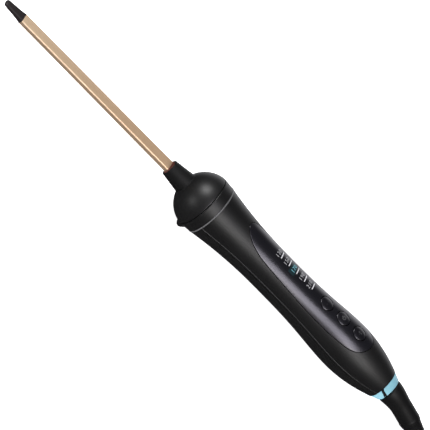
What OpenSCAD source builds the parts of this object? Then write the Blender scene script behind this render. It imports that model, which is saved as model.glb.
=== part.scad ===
// Slim chopstick curling iron, lying on a table on its rest foot.
// Every piece is drawn along the handle's axis, X from the cool tip to the cord, the control
// panel on +Z, and lay() then sets the whole iron down on z = 0. The cord is drawn where it lies.

/* [Cool tip] */
// Length of the cool tip that shows
tip_len = 15.7; // [12:0.1:24]
// Width of the tip where it meets the barrel
tip_w = 7.8; // [6.5:0.1:10]
// Thickness of the tip where it meets the barrel
tip_t = 4.2; // [3.6:0.1:6]

/* [Barrel] */
// Length of the heated barrel between tip and neck
barrel_len = 137.7; // [110:0.1:180]
// Width of the barrel at its root
barrel_w = 8.5; // [7:0.1:11]
// Thickness of the barrel at its root
barrel_t = 4.2; // [3.6:0.1:6]
// Radius of the barrel's corners
barrel_corner = 1.2; // [0.6:0.1:1.6]
// Wall of the barrel's extrusion
barrel_wall = 0.7; // [0.5:0.1:1]
// Width at the tip as a share of the width at the root
barrel_taper = 0.94; // [0.9:0.01:1]

/* [Heater] */
// Width of the ceramic heater
heater_w = 4.8; // [3:0.1:5]
// Thickness of the ceramic heater
heater_t = 1.2; // [0.8:0.1:1.4]
// Distance from the heater to the tip's spigot
heater_inset = 3; // [1:0.5:10]

/* [Guard] */
// Length of the neck sleeve in front of the dome
neck_len = 14.9; // [10:0.1:24]
// Outside radius of the neck at its mouth
neck_mouth_r = 5.9; // [5.8:0.1:8]
// Outside radius of the neck where it enters the dome
neck_root_r = 7.9; // [7.2:0.1:10]
// Outside radius of the dome
dome_r = 20.3; // [20:0.1:25]
// Wall of the dome
dome_wall = 2.2; // [1.6:0.1:3]
// Distance from the dome's widest plane forward to its rim
dome_set = 2.3; // [1:0.1:4]
// Gap between the dome's rim and the handle
rim_gap = 0.4; // [0.2:0.1:0.8]

/* [Handle] */
// Length of the band in front of the trim ring
band_len = 8.3; // [6:0.1:12]
// Radius of the handle behind the trim ring
front_r = 19.5; // [18.5:0.1:23.5]
// Radius of the waist
waist_r = 15.0; // [14.5:0.1:18]
// Radius of the belly
belly_r = 17.9; // [16:0.1:21.5]
// Radius of the shells where the end ring starts
end_r = 11.3; // [10.8:0.1:13]
// From the trim ring to the waist
waist_run = 55; // [48:1:66]
// From the waist to the belly
belly_run = 72; // [60:1:86]
// From the belly to the end of the shells
tail_run = 35.9; // [35:0.1:44]
// Wall of the shells
shell_wall = 2.4; // [1.8:0.1:2.8]
// Width of the seam between the shells
seam_gap = 0.3; // [0.1:0.05:0.5]
// Width of the silver trim ring
trim_w = 0.8; // [0.5:0.1:1.6]

/* [Rest foot] */
// Radius of the crescent
foot_r = 18.6; // [17.5:0.1:22]
// How far the crescent's centre lies below the handle's axis
foot_drop = 6; // [5:0.1:8]
// Thickness of the crescent
foot_t = 3.8; // [3:0.1:5]
// Height of the axis above the table at the foot, less than foot_r + foot_drop
foot_stand = 24.2; // [23.8:0.1:24.4]

/* [Control panel] */
// From the trim ring to the panel's point
panel_set = 22; // [20:0.5:26]
// Length of the panel
panel_len = 114.5; // [108:0.5:116]
// Width of the panel
panel_w = 26.2; // [24:0.2:27]
// Thickness of the panel
panel_t = 1.6; // [1.2:0.1:1.8]
// Gap around the panel
panel_gap = 0.2; // [0.1:0.05:0.3]
// Width of the ledge that the panel lies on
ledge_w = 1.6; // [1.2:0.1:2]
// From the panel's point to the first light bar
bar_set = 30.6; // [28:0.2:34]
// Distance between light bars
bar_pitch = 7.25; // [6:0.05:7.5]
// Length of a light bar, across the handle
bar_len = 6.3; // [4:0.1:8]
// Width of a light bar
bar_w = 0.8; // [0.6:0.1:1.2]

/* [Buttons] */
// Diameter of a button
button_d = 10; // [8:0.1:11]
// Gap round a button
button_gap = 0.2; // [0.1:0.05:0.3]
// From the panel's point to the minus button
button_set = 73.5; // [72:0.5:76]
// Distance between buttons
button_pitch = 14.55; // [13.8:0.05:15]
// How far a button goes down
button_travel = 0.6; // [0.3:0.1:0.8]
// Thickness of a button's retaining flange
flange_t = 0.8; // [0.6:0.1:1]

/* [Board] */
// Width of the circuit board
board_w = 20; // [18:0.5:21]
// Thickness of the circuit board
board_t = 1.6; // [1:0.1:1.6]
// Height of the board's underside above the handle's axis
board_z = 3; // [2:0.1:3.5]

/* [End ring and swivel] */
// Length of the end ring that shows
ring_len = 5.8; // [5:0.1:8]
// Radius of the end ring at its free end
ring_end_r = 9; // [8.6:0.1:10]
// Radius of the bore that the swivel turns in
ring_bore_r = 7; // [6.6:0.1:7.2]
// Gap between the swivel's neck and the bore
swivel_fit = 0.08; // [0.04:0.01:0.1]
// Width of the keyways in the end ring
key_w = 1.6; // [1:0.1:2.4]
// Angle of each keyway from the panel's middle
key_angle = 66; // [50:1:80]

/* [Strain relief] */
// Radius of the strain relief at the handle
relief_root_r = 8.7; // [8.2:0.1:8.8]
// Radius of the strain relief at its middle
relief_mid_r = 7.1; // [6.5:0.1:7.6]
// Radius of the strain relief at the cord
relief_end_r = 4.2; // [3.8:0.1:5]

/* [Cord] */
// Diameter of the cord
cord_d = 6; // [5:0.1:6]
// Length of the hank's straight runs
hank_run = 120; // [100:1:120]
// Radius of the hank's inner folds, at the cord's centre
hank_fold = 18; // [18:0.5:20]

/* [Plug] */
// Width of the plug
plug_w = 35.3; // [35:0.1:35.6]
// Thickness of the plug
plug_t = 13.7; // [13.5:0.1:14]
// Length of the plug's body
plug_len = 36; // [33:0.5:40]
// Distance between the pins
pin_pitch = 18.6; // [17.5:0.1:19]
// Radius of a pin's bare end
pin_r = 2; // [1.97:0.01:2.03]
// Radius of a pin's sleeve
sleeve_r = 1.9; // [1.8:0.01:1.9]
// Length of a pin that stands out of the plug
pin_len = 19; // [18.5:0.1:19.5]
// Length of a pin's sleeve
sleeve_len = 10; // [10:0.1:11]

/* [Hidden] */
$fn = 48;

snug = 0.05;
ease = 0.1;
past = 1;
tip_spigot = 10;

// Stations along the handle's axis, from the end of the cool tip
barrel_x = tip_len;
neck_x = barrel_x + barrel_len;
dome_x = neck_x + neck_len;
dome_mid = dome_x + sqrt(dome_r * dome_r - neck_root_r * neck_root_r);
rim_x = dome_mid - dome_set;
band_x = rim_x + rim_gap;
trim_x = rim_x + band_len;
waist_x = trim_x + waist_run;
belly_x = waist_x + belly_run;
end_x = belly_x + tail_run;
tail_x = end_x + ring_len;
panel_x = trim_x + panel_set;
panel_end = panel_x + panel_len;
foot_x = band_x + 0.1;

// The outside of the handle, a radius for each station
band_r = sqrt(dome_r * dome_r - dome_set * dome_set);
function handle_r(x) =
    x < trim_x ? band_r + (front_r - band_r) * (x - band_x) / (trim_x - band_x)
    : x < waist_x ? waist_r + (front_r - waist_r) * pow((waist_x - x) / waist_run, 2)
    : x < belly_x ? waist_r + (belly_r - waist_r) * (1 - cos(180 * pow((x - waist_x) / belly_run, 1.7))) / 2
    : belly_r - (belly_r - end_r) * pow((x - belly_x) / tail_run, 2);

front_steps = 7;
middle_steps = 11;
tail_steps = 8;
stations = concat([band_x],
    [for (i = [0:front_steps - 1]) trim_x + waist_run * i / front_steps],
    [for (i = [0:middle_steps - 1]) waist_x + belly_run * i / middle_steps],
    [for (i = [0:tail_steps]) belly_x + tail_run * i / tail_steps]);

// The iron leans on its foot and its belly: the least nose-up angle at which both touch
foot_mid = foot_x + foot_t / 2;
function lean_at(x) = asin(foot_stand / norm([x - foot_mid, handle_r(x)])) - atan2(handle_r(x), x - foot_mid);
lean = min([for (x = stations) if (x > waist_x) lean_at(x)]);
rest_x = foot_mid - tail_x / 2;

module lay() {
    translate([rest_x, 0, foot_stand]) rotate([0, lean, 0]) translate([-foot_mid, 0, 0]) children();
}

// A solid turned round the handle's axis, from points of station and radius
module turned(points) {
    rotate([90, 0, 90]) rotate_extrude($fn = 96)
        polygon([for (p = points) [p[1], p[0]]]);
}

// A plain ring or disc round the handle's axis
module ring(x0, x1, r0, r1) {
    difference() {
        translate([x0, 0, 0]) rotate([0, 90, 0]) cylinder(h = x1 - x0, r = r1, $fn = 96);
        if (r0 > 0) {
            translate([x0 - past, 0, 0]) rotate([0, 90, 0]) cylinder(h = x1 - x0 + 2 * past, r = r0, $fn = 96);
        }
    }
}

// The handle as a solid, its surface moved in by inset
module handle_solid(inset = 0) {
    turned(concat([[band_x - (inset > 0 ? past : 0), 0]],
        inset > 0 ? [[band_x - past, handle_r(band_x) - inset]] : [],
        [for (x = stations) [x, handle_r(x) - inset]],
        inset > 0 ? [[end_x + past, handle_r(end_x) - inset]] : [],
        [[end_x + (inset > 0 ? past : 0), 0]]));
}

module above(z) {
    translate([0, -40, z]) cube([tail_x, 80, 40]);
}

module below(z) {
    translate([0, -40, z - 40]) cube([tail_x, 80, 40]);
}

module post(x, y, z0, z1, r) {
    translate([x, y, z0]) cylinder(h = z1 - z0, r = r);
}

module block(x0, x1, y0, y1, z0, z1) {
    translate([x0, y0, z0]) cube([x1 - x0, y1 - y0, z1 - z0]);
}

// A wire of diameter d laid along points
module wire_path(points, d) {
    line = smooth(points, 3);
    swept(line, [for (p = line) d / 2], 8);
}

// The barrel's section: w wide, t thick, with round corners
module rounded(w, t, r) {
    hull() {
        for (i = [-1, 1], j = [-1, 1]) {
            translate([i * (t / 2 - r), j * (w / 2 - r)]) circle(r = r, $fn = 32);
        }
    }
}

module slice(x, w, t, r) {
    translate([x, 0, 0]) rotate([0, 90, 0]) linear_extrude(0.01) rounded(w, t, r);
}

function barrel_share(x) = barrel_taper + (1 - barrel_taper) * (x - barrel_x) / barrel_len;

module barrel_form(x0, x1, grow = 0) {
    hull() {
        for (x = [x0, x1]) {
            slice(x, barrel_w * barrel_share(x) + 2 * grow, barrel_t * barrel_share(x) + 2 * grow,
                barrel_corner + grow);
        }
    }
}

cavity_w = barrel_w * barrel_taper - 2 * barrel_wall;
cavity_t = barrel_t * barrel_taper - 2 * barrel_wall;
barrel_end = dome_x + 13;

module cool_tip() {
    color("#2b2426") {
        lay() {
            hull() {
                slice(0, tip_w * 0.36, tip_t * 0.34, 0.5);
                slice(1.4, tip_w * 0.6, tip_t * 0.6, 1);
            }
            hull() {
                slice(1.4, tip_w * 0.6, tip_t * 0.6, 1);
                slice(tip_len - 5.6, tip_w * 0.79, tip_t * 0.82, 1.1);
            }
            hull() {
                slice(tip_len - 5.6, tip_w * 0.79, tip_t * 0.82, 1.1);
                slice(tip_len - 0.01, tip_w, tip_t, barrel_corner);
            }
            block(tip_len - past, tip_len + tip_spigot, -cavity_w / 2 + snug, cavity_w / 2 - snug,
                -cavity_t / 2 + snug, cavity_t / 2 - snug);
        }
    }
}

module barrel_tube() {
    color("#c39a78") {
        lay() {
            difference() {
                barrel_form(barrel_x, barrel_end);
                block(barrel_x - past, barrel_end + past, -cavity_w / 2, cavity_w / 2, -cavity_t / 2, cavity_t / 2);
            }
        }
    }
}

heater_x0 = barrel_x + tip_spigot + heater_inset;
heater_x1 = neck_x - 12;

module heater_strip() {
    color("white") {
        lay() block(heater_x0, heater_x1, -heater_w / 2, heater_w / 2, -heater_t / 2, heater_t / 2);
    }
}

module heat_spreaders() {
    color("silver") {
        lay() {
            for (side = [-1, 1]) {
                z0 = heater_t / 2 + 0.02;
                z1 = cavity_t / 2 - 0.02;
                mid = side * (z0 + z1) / 2;
                translate([heater_x0, -heater_w / 2, mid - (z1 - z0) / 2])
                    cube([heater_x1 - heater_x0, heater_w, z1 - z0]);
            }
        }
    }
}

module thermistor() {
    color("#c8551e") {
        lay() translate([heater_x1 + 2, 0, 0]) rotate([0, 90, 0]) cylinder(h = 4, d = 1.8, $fn = 24);
    }
}

module thermal_fuse() {
    color("#d8d3c4") {
        lay() translate([neck_x + 6, 0, 0]) rotate([0, 90, 0]) cylinder(h = 8, d = 2, $fn = 24);
    }
}

seal_wall = 0.45;

module neck_seal() {
    color("#6a3a30") {
        lay() {
            difference() {
                barrel_form(neck_x - 0.5, neck_x + 4, snug + seal_wall);
                barrel_form(neck_x - past, neck_x + 4 + past, snug);
            }
        }
    }
}

neck_collar_r = neck_root_r + 1.5;
neck_back = dome_x + 5.5;
dome_in = dome_r - dome_wall;

module neck_sleeve() {
    color("#1f1f20") {
        lay() {
            difference() {
                union() {
                    turned([[neck_x, 0], [neck_x, neck_mouth_r], [dome_x, neck_root_r], [neck_back, neck_root_r],
                        [neck_back, 0]]);
                    ring(neck_back - 1.6, neck_back, 0, neck_collar_r);
                }
                barrel_form(neck_x - past, neck_back + past, 2 * snug);
                barrel_form(neck_x - past, neck_x + 4 + snug, snug + seal_wall + 0.01);
            }
        }
    }
}

module dome_guard() {
    color("#1c1c1d") {
        lay() {
            difference() {
                union() {
                    intersection() {
                        translate([dome_mid, 0, 0]) rotate([0, 90, 0]) sphere(r = dome_r, $fn = 96);
                        block(dome_x - 2, rim_x, -30, 30, -30, 30);
                    }
                    ring(rim_x - past, band_x + 5.6, 0, handle_r(band_x + 5.6) - shell_wall - ease);
                }
                difference() {
                    translate([dome_mid, 0, 0]) rotate([0, 90, 0]) sphere(r = dome_in, $fn = 96);
                    block(0, neck_back + snug, -30, 30, -30, 30);
                    block(rim_x - 1.2, tail_x, -30, 30, -30, 30);
                }
                ring(rim_x - 1.2 - snug, band_x + 6, 0, handle_r(band_x + 5.6) - shell_wall - 1.6);
                ring(dome_x - 4, neck_back, 0, neck_root_r + ease);
                ring(neck_back - 1.6 - snug, neck_back + past, 0, neck_collar_r + ease);
                for (side = [-1, 1]) {
                    translate([neck_back - 3, side * holder_screw_y, 0]) rotate([0, 90, 0])
                        cylinder(h = 5, r = 0.9, $fn = 24);
                }
            }
        }
    }
}

holder_screw_y = neck_collar_r + 1.3;
holder_x0 = neck_back + snug;
holder_x1 = holder_x0 + 5;
holder_r = sqrt(pow(dome_in, 2) - pow(dome_mid - holder_x0, 2)) - ease;

module barrel_holder() {
    color("#cfc9b8") {
        lay() {
            difference() {
                intersection() {
                    ring(holder_x0, holder_x1, 0, holder_r);
                    block(0, tail_x, -30, 30, -6.5, 6.5);
                }
                barrel_form(holder_x0 - past, holder_x1 + past, snug);
                for (side = [-1, 1]) {
                    translate([holder_x0 - past, side * holder_screw_y, 0]) rotate([0, 90, 0])
                        cylinder(h = 5 + 2 * past, r = 1.2, $fn = 24);
                }
            }
        }
    }
}

module holder_screws() {
    color("#b9b9bd") {
        lay() {
            for (side = [-1, 1]) {
                translate([neck_back - 2.6, side * holder_screw_y, 0]) rotate([0, 90, 0])
                    cylinder(h = holder_x1 - neck_back + 2.6, r = 0.88, $fn = 24);
                translate([holder_x1, side * holder_screw_y, 0]) rotate([0, 90, 0])
                    cylinder(h = 1.3, r = 1.9, $fn = 24);
            }
        }
    }
}

// The crescent's outline, grown by grow, from inner radius r0
module foot_form(x0, x1, r0, grow = 0) {
    difference() {
        translate([x0, 0, -foot_drop]) rotate([0, 90, 0]) cylinder(h = x1 - x0, r = foot_r + grow, $fn = 96);
        ring(x0 - past, x1 + past, 0, r0);
        above(-8);
    }
}

foot_seat_r = band_r - 1.5;

module rest_foot() {
    color("#1f1f20") {
        difference() {
            lay() foot_form(foot_x, foot_x + foot_t, foot_seat_r);
            translate([-40, -40, -20]) cube([80, 80, 20]);
        }
    }
}

trim_depth = 1.1;

module trim_ring() {
    color("#d4d4d8") {
        lay() ring(trim_x - trim_w / 2, trim_x + trim_w / 2, front_r - trim_depth + snug, front_r + 0.15);
    }
}

// Half the width of the panel at a station
panel_belly = panel_x + 0.75 * panel_len;
panel_nose = 25;
function panel_half(x) =
    (panel_w / 2 - 0.049 * max(0, panel_belly - x))
    * (x < panel_x + panel_nose ? sqrt(max(0, 1 - pow((panel_x + panel_nose - x) / panel_nose, 2.4))) : 1)
    * (x > panel_belly ? sqrt(max(0, 1 - pow((x - panel_belly) / (panel_end - panel_belly), 4.4))) : 1);

panel_steps = 28;
panel_stations = [for (i = [0:panel_steps]) panel_x + panel_len * (1 - cos(180 * i / panel_steps)) / 2];

module panel_prism(grow) {
    linear_extrude(40) {
        polygon(concat(
            [for (x = panel_stations) [grown_x(x, grow), -max(0, panel_half(x) + grow * wide_share(x))]],
            [for (i = [panel_steps - 1:-1:1]) let (x = panel_stations[i])
                [grown_x(x, grow), max(0, panel_half(x) + grow * wide_share(x))]]));
    }
}

function wide_share(x) = sin(180 * (x - panel_x) / panel_len) > 0.05 ? 1 : 0;
function grown_x(x, grow) = x + grow * (2 * (x - panel_x) / panel_len - 1);

button_names = ["minus", "power", "plus"];
function button_x(i) = panel_x + button_set + i * button_pitch;

// Underside of a button's flange: clear of the panel's curved underside all round
flange_r = button_d / 2 + 1.2;
function flange_top(i) =
    sqrt(pow(min(handle_r(button_x(i) - flange_r), handle_r(button_x(i) + flange_r)) - panel_t, 2)
        - flange_r * flange_r) - 0.3;

bar_y0 = -0.5;
function bar_x(i) = panel_x + bar_set + i * bar_pitch;

module control_panel() {
    color("#2a2833") {
        lay() {
            difference() {
                intersection() {
                    handle_solid();
                    panel_prism(0);
                }
                handle_solid(panel_t);
                for (i = [0:2]) post(button_x(i), 0, 0, 40, button_d / 2 + button_gap);
                for (i = [0:4]) {
                    block(bar_x(i) - bar_w / 2, bar_x(i) + bar_w / 2, bar_y0, bar_y0 + bar_len, 0, 40);
                }
            }
        }
    }
}

guide_z = 10.6;

module light_guide() {
    color("#eef3f6") {
        lay() {
            intersection() {
                handle_solid(0.02);
                union() {
                    for (i = [0:4]) {
                        block(bar_x(i) - bar_w / 2 + 0.02, bar_x(i) + bar_w / 2 - 0.02,
                            bar_y0 + snug, bar_y0 + bar_len - snug, guide_z - 1, 40);
                    }
                    block(bar_x(0) - 2, bar_x(4) + 2, bar_y0 - 1, bar_y0 + bar_len + 0.4, guide_z - 1, guide_z);
                }
            }
        }
    }
}

module button(i) {
    x = button_x(i);
    top = flange_top(i);
    intersection() {
        handle_solid(0.02);
        post(x, 0, top - flange_t, 40, button_d / 2);
    }
    post(x, 0, top - flange_t, top, flange_r);
    post(x, 0, switch_top + button_travel + ease, top, 1.6);
}

module minus_button() {
    color("#24232b") {
        lay() button(0);
    }
}

module power_button() {
    color("#24232b") {
        lay() button(1);
    }
}

module plus_button() {
    color("#24232b") {
        lay() button(2);
    }
}

board_top = board_z + board_t;
board_x0 = bar_x(0) - 22;
board_x1 = button_x(2) + 10.5;
switch_top = board_top + 3.8;
lug_xs = [board_x0 + 4, board_x1 - 3.5];

module main_board() {
    color("#1f5a3c") {
        lay() {
            difference() {
                block(board_x0, board_x1, -board_w / 2, board_w / 2, board_z, board_top);
                for (x = lug_xs) post(x, 0, 0, 10, 1.15);
            }
        }
    }
}

module board_screws() {
    color("#b9b9bd") {
        lay() {
            for (x = lug_xs) {
                post(x, 0, board_z - 5, board_top, 0.88);
                post(x, 0, board_top, board_top + 1.3, 1.9);
            }
        }
    }
}

module display_leds() {
    color("white") {
        lay() {
            for (i = [0:4]) block(bar_x(i) - 0.6, bar_x(i) + 0.6, 1.6, 3.6, board_top, board_top + 0.8);
        }
    }
}

module tact_switches() {
    color("#c9c9c9") {
        lay() {
            for (i = [0:2]) {
                block(button_x(i) - 3, button_x(i) + 3, -3, 3, board_top, board_top + 3.4);
                post(button_x(i), 0, board_top + 3.4, switch_top, 1.6);
            }
        }
    }
}

module controller_chip() {
    color("#18181a") {
        lay() block(board_x0 + 10, board_x0 + 19, -4, 4, board_top, board_top + 1.6);
    }
}

module triac() {
    color("#202022") {
        lay() block(board_x0 + 12, board_x0 + 26, -5, 5, board_z - 4, board_z);
    }
}

module capacitor() {
    color("#8f8a2c") {
        lay() block(board_x0 + 36, board_x0 + 54, -4.5, 4.5, board_z - 10, board_z);
    }
}

module board_fuse() {
    color("#d9d2c0") {
        lay() translate([board_x0 + 60, 0, board_z - 2.6]) rotate([0, 90, 0]) cylinder(h = 12, d = 5, $fn = 24);
    }
}

module heater_leads() {
    color("#b8322a") {
        lay() {
            for (side = [-1, 1]) {
                wire_path([[barrel_end - 6, side * 1.9, 0], [barrel_end + 4, side * 1.9, 0],
                    [board_x0 - 4, side * 6.5, board_z - 1], [board_x0 + 6, side * 6.5, board_z - 1]], 1.5);
            }
        }
    }
}

module sensor_leads() {
    color("#e6e2d8") {
        lay() {
            for (side = [-1, 1]) {
                wire_path([[barrel_end - 6, side * 0.5, 0], [barrel_end + 6, side * 0.5, 0],
                    [board_x0 - 3, side * 2.2, board_z + 0.4]], 0.8);
            }
        }
    }
}

screw_x = trim_x + 12.5;
screw_y = 8.5;
seam = seam_gap / 2;
lip_t = 0.85;
lip_h = 1;
socket_r = 9.6;
socket_x0 = board_x1 + 1.5;
socket_x1 = end_x - 6.9;
collar_x = end_x - 4.4;
collar_r = 9.4;
rib_xs = [socket_x0 + 3, socket_x1 - 2.6];
lead_room = 2.4;

// Both shells in one piece, before they are parted at the seam
module shell_ring() {
    difference() {
        handle_solid();
        handle_solid(shell_wall);
        ring(trim_x - trim_w / 2 - snug, trim_x + trim_w / 2 + snug, front_r - trim_depth, front_r + 3);
    }
    for (x = rib_xs) {
        difference() {
            ring(x, x + 1.6, socket_r + snug, handle_r(x + 1.6) - shell_wall / 2);
            block(x - past, x + 1.6 + past, -40, 40, -lead_room, lead_room);
        }
    }
    ring(collar_x + 1.6, end_x - 0.6, collar_r - 1.2, handle_r(end_x) - 0.6);
}

module upper_shell() {
    color("#222223") {
        lay() {
            difference() {
                union() {
                    intersection() {
                        shell_ring();
                        above(seam);
                    }
                    intersection() {
                        for (side = [-1, 1]) post(screw_x, side * screw_y, seam, 40, 2.7);
                        handle_solid(shell_wall / 2);
                    }
                }
                intersection() {
                    above(seam - past);
                    below(lip_h + ease);
                    handle_solid(shell_wall - lip_t - ease);
                }
                difference() {
                    panel_prism(panel_gap);
                    handle_solid(panel_t);
                }
                panel_prism(-ledge_w);
                for (side = [-1, 1]) post(screw_x, side * screw_y, -1, 9, 0.9);
            }
            for (side = [-1, 1]) {
                difference() {
                    post(screw_x, side * screw_y, seam, 9, 2.7);
                    post(screw_x, side * screw_y, -1, 10, 0.9);
                }
            }
        }
    }
}

module lower_shell() {
    color("#222223") {
        lay() {
            difference() {
                union() {
                    intersection() {
                        shell_ring();
                        below(-seam);
                    }
                    difference() {
                        intersection() {
                            handle_solid(shell_wall - lip_t);
                            above(-seam);
                            below(lip_h);
                            block(band_x + 6, end_x - 5.4, -30, 30, -5, 5);
                        }
                        handle_solid(shell_wall);
                        for (side = [-1, 1]) post(screw_x, side * screw_y, -5, 5, 2.8);
                    }
                    intersection() {
                        union() {
                            for (side = [-1, 1]) post(screw_x, side * screw_y, -40, -seam, 3);
                            for (x = lug_xs) post(x, 0, -40, board_z, 2.6);
                        }
                        handle_solid(shell_wall / 2);
                    }
                }
                for (side = [-1, 1]) {
                    post(screw_x, side * screw_y, -10, 1, 1.2);
                    post(screw_x, side * screw_y, -40, -8, 2.2);
                }
                for (x = lug_xs) post(x, 0, board_z - 6, board_z + 1, 0.9);
                foot_form(foot_x - ease, foot_x + foot_t + ease, foot_seat_r - ease, ease);
            }
        }
    }
}

module shell_screws() {
    color("#b9b9bd") {
        lay() {
            for (side = [-1, 1]) {
                post(screw_x, side * screw_y, -8, 7, 0.88);
                post(screw_x, side * screw_y, -9.6, -8, 2.05);
            }
        }
    }
}

module end_ring() {
    color("#79cfee") {
        lay() {
            difference() {
                union() {
                    turned([[end_x, 0], [end_x, end_r], [tail_x, ring_end_r], [tail_x, 0]]);
                    ring(collar_x, end_x + past, 0, collar_r - 1.2 - snug);
                    ring(collar_x, collar_x + 1.5, 0, collar_r);
                }
                ring(collar_x - past, tail_x + past, 0, ring_bore_r);
                for (side = [-1, 1]) {
                    rotate([-side * key_angle, 0, 0]) block(end_x - 0.1, tail_x + past, -key_w / 2, key_w / 2,
                        ring_end_r - 1.2, 20);
                }
            }
        }
    }
}

drum_r = 4.6;
flange_x = collar_x - 2.4;
contact_xs = [socket_x0 + 5.5, socket_x0 + 10.5];
contact_w = 2.4;
contact_r = 5.4;
pivot_r = 1.5;

module swivel_socket() {
    color("#d9d4c6") {
        lay() {
            difference() {
                ring(socket_x0, socket_x1, 0, socket_r);
                ring(socket_x0 + 2.2, socket_x1 + past, 0, contact_r + 1.2);
                ring(socket_x0 - past, socket_x0 + 3, 0, pivot_r + swivel_fit);
                for (i = [0, 1]) {
                    block(contact_xs[i] - snug, contact_xs[i] + contact_w + snug, i == 0 ? 0 : -20, i == 0 ? 20 : 0,
                        -1.6, 1.6);
                }
            }
        }
    }
}

module brush_contacts() {
    color("#c08a45") {
        lay() {
            for (i = [0, 1]) {
                side = i == 0 ? 1 : -1;
                difference() {
                    block(contact_xs[i], contact_xs[i] + contact_w, side > 0 ? contact_r - 1 : -socket_r - 1,
                        side > 0 ? socket_r + 1 : 1 - contact_r, -1.5, 1.5);
                    ring(contact_xs[i] - past, contact_xs[i] + contact_w + past, 0, contact_r + swivel_fit);
                }
            }
        }
    }
}

module supply_leads() {
    color("#3a6bb0") {
        lay() {
            for (i = [0, 1]) {
                side = i == 0 ? 1 : -1;
                wire_path([[contact_xs[i] + contact_w / 2, side * (socket_r + 1.8), 0],
                    [socket_x0 + 1, side * (socket_r + 1.4), 0],
                    [board_x1 - 5, side * 7.5, board_z - 1], [board_x1 - 11, side * 7.5, board_z - 1]], 1.5);
            }
        }
    }
}

module swivel_drum() {
    color("#26262a") {
        lay() {
            difference() {
                union() {
                    ring(socket_x0 + 0.2, socket_x0 + 3, 0, pivot_r);
                    ring(socket_x0 + 2.8, flange_x, 0, drum_r);
                    ring(flange_x, flange_x + 2, 0, ring_bore_r + 1.2);
                    ring(flange_x, tail_x + 0.6, 0, ring_bore_r - swivel_fit);
                }
                ring(flange_x + 4, tail_x + past, 0, cord_d / 2);
            }
        }
    }
}

module contact_rings() {
    color("#d8a24c") {
        lay() {
            for (x = contact_xs) ring(x, x + contact_w, drum_r, contact_r);
        }
    }
}

// Points of a route, smoothed: each span of four points gives steps points along a curve
function curve(a, b, c, d, t) =
    0.5 * (2 * b + (c - a) * t + (2 * a - 5 * b + 4 * c - d) * t * t + (3 * b - a - 3 * c + d) * t * t * t);
function smooth(points, steps) = let (n = len(points) - 1) concat(
    [for (i = [0:n - 1], k = [0:steps - 1])
        curve(points[max(0, i - 1)], points[i], points[i + 1], points[min(n, i + 2)], k / steps)],
    [points[n]]);
function unit(v) = v / norm(v);
function heading(line, i) = unit(line[min(len(line) - 1, i + 1)] - line[max(0, i - 1)]);

// A tube of many sides along a line, with a radius for each of its points
module swept(line, radii, sides) {
    rings = [for (i = [0:len(line) - 1])
        let (way = heading(line, i), out = unit(cross(way, [0, 0, 1])), up = cross(out, way))
        for (k = [0:sides - 1]) line[i] + radii[i] * (cos(360 * k / sides) * out + sin(360 * k / sides) * up)];
    last = (len(line) - 1) * sides;
    polyhedron(rings, concat(
        [[for (k = [0:sides - 1]) k]],
        [[for (k = [sides - 1:-1:0]) last + k]],
        [for (i = [0:len(line) - 2], k = [0:sides - 1]) let (a = i * sides, b = a + sides, m = (k + 1) % sides)
            [a + k, b + k, b + m, a + m]]));
}

// The strain relief starts square on the swivel and droops to the table
relief_gap = 0.6;
function laid(p) = [rest_x + (p[0] - foot_mid) * cos(lean) + p[2] * sin(lean), p[1],
    foot_stand - (p[0] - foot_mid) * sin(lean) + p[2] * cos(lean)];
relief_start = laid([tail_x + relief_gap, 0, 0]);
relief_turn = laid([tail_x + relief_gap + 13, 0, 0]);
relief_low = [209, 0, 6];
relief_end = [222, 0, 4.2];
relief_steps = 14;
relief_line = [for (i = [0:relief_steps]) let (t = i / relief_steps, s = 1 - t)
    s * s * s * relief_start + 3 * s * s * t * relief_turn + 3 * s * t * t * relief_low + t * t * t * relief_end];
relief_radii = [for (i = [0:relief_steps])
    let (t = i / relief_steps, near = min(1, t / 0.35), far = max(0, (t - 0.6) / 0.4))
    relief_root_r - (relief_root_r - relief_mid_r) * near * near * (3 - 2 * near)
    - (relief_mid_r - relief_end_r) * far];

// The cord's route on the table, from the strain relief to the hank, and from the hank to the plug
run_points = [[222, 0, 4.2], [230, 0.6, 3.3], [238, 3.4, 3], [246, 8, 3], [254, 13.4, 3], [262, 18.4, 3],
    [270, 22.2, 3], [278, 24, 3]];
tail_points = [[398, -21, 15], [390, -19.8, 15.6], [382, -16.4, 16.6], [374, -11.4, 17.8], [366, -6, 18.6],
    [358, -2, 18.9], [350, 0, 18.9]];
hank_x = 278;
hank_end = hank_x + hank_run;
plug_x = 300;
plug_z = 2 * cord_d + plug_t / 2;

module strain_relief() {
    color("#2a2a2c") {
        swept(relief_line, relief_radii, 20);
    }
}

module cord_run() {
    color("#2a2a2c") {
        line = smooth(run_points, 2);
        swept(line, [for (p = line) cord_d / 2], 10);
    }
}

module cord_tail() {
    color("#2a2a2c") {
        line = smooth(tail_points, 2);
        swept(line, [for (p = line) cord_d / 2], 10);
    }
}

module stadium(r) {
    translate([hank_x, 0]) circle(r = r, $fn = 64);
    translate([hank_end, 0]) circle(r = r, $fn = 64);
    translate([hank_x, -r]) square([hank_run, 2 * r]);
}

module cord_hank() {
    color("#2a2a2c") {
        linear_extrude(2 * cord_d) {
            difference() {
                stadium(hank_fold + 1.5 * cord_d);
                stadium(hank_fold - cord_d / 2);
            }
        }
        translate([0, 0, 2 * cord_d - snug]) {
            linear_extrude(cord_d - 1) {
                difference() {
                    stadium(hank_fold + cord_d);
                    stadium(hank_fold);
                    translate([hank_x, -40]) square([hank_run, 40]);
                }
            }
        }
    }
}

tie_x = 366;
tie_w = 12;
tie_t = 0.9;
tie_y = hank_fold + 1.5 * cord_d + ease;

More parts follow.
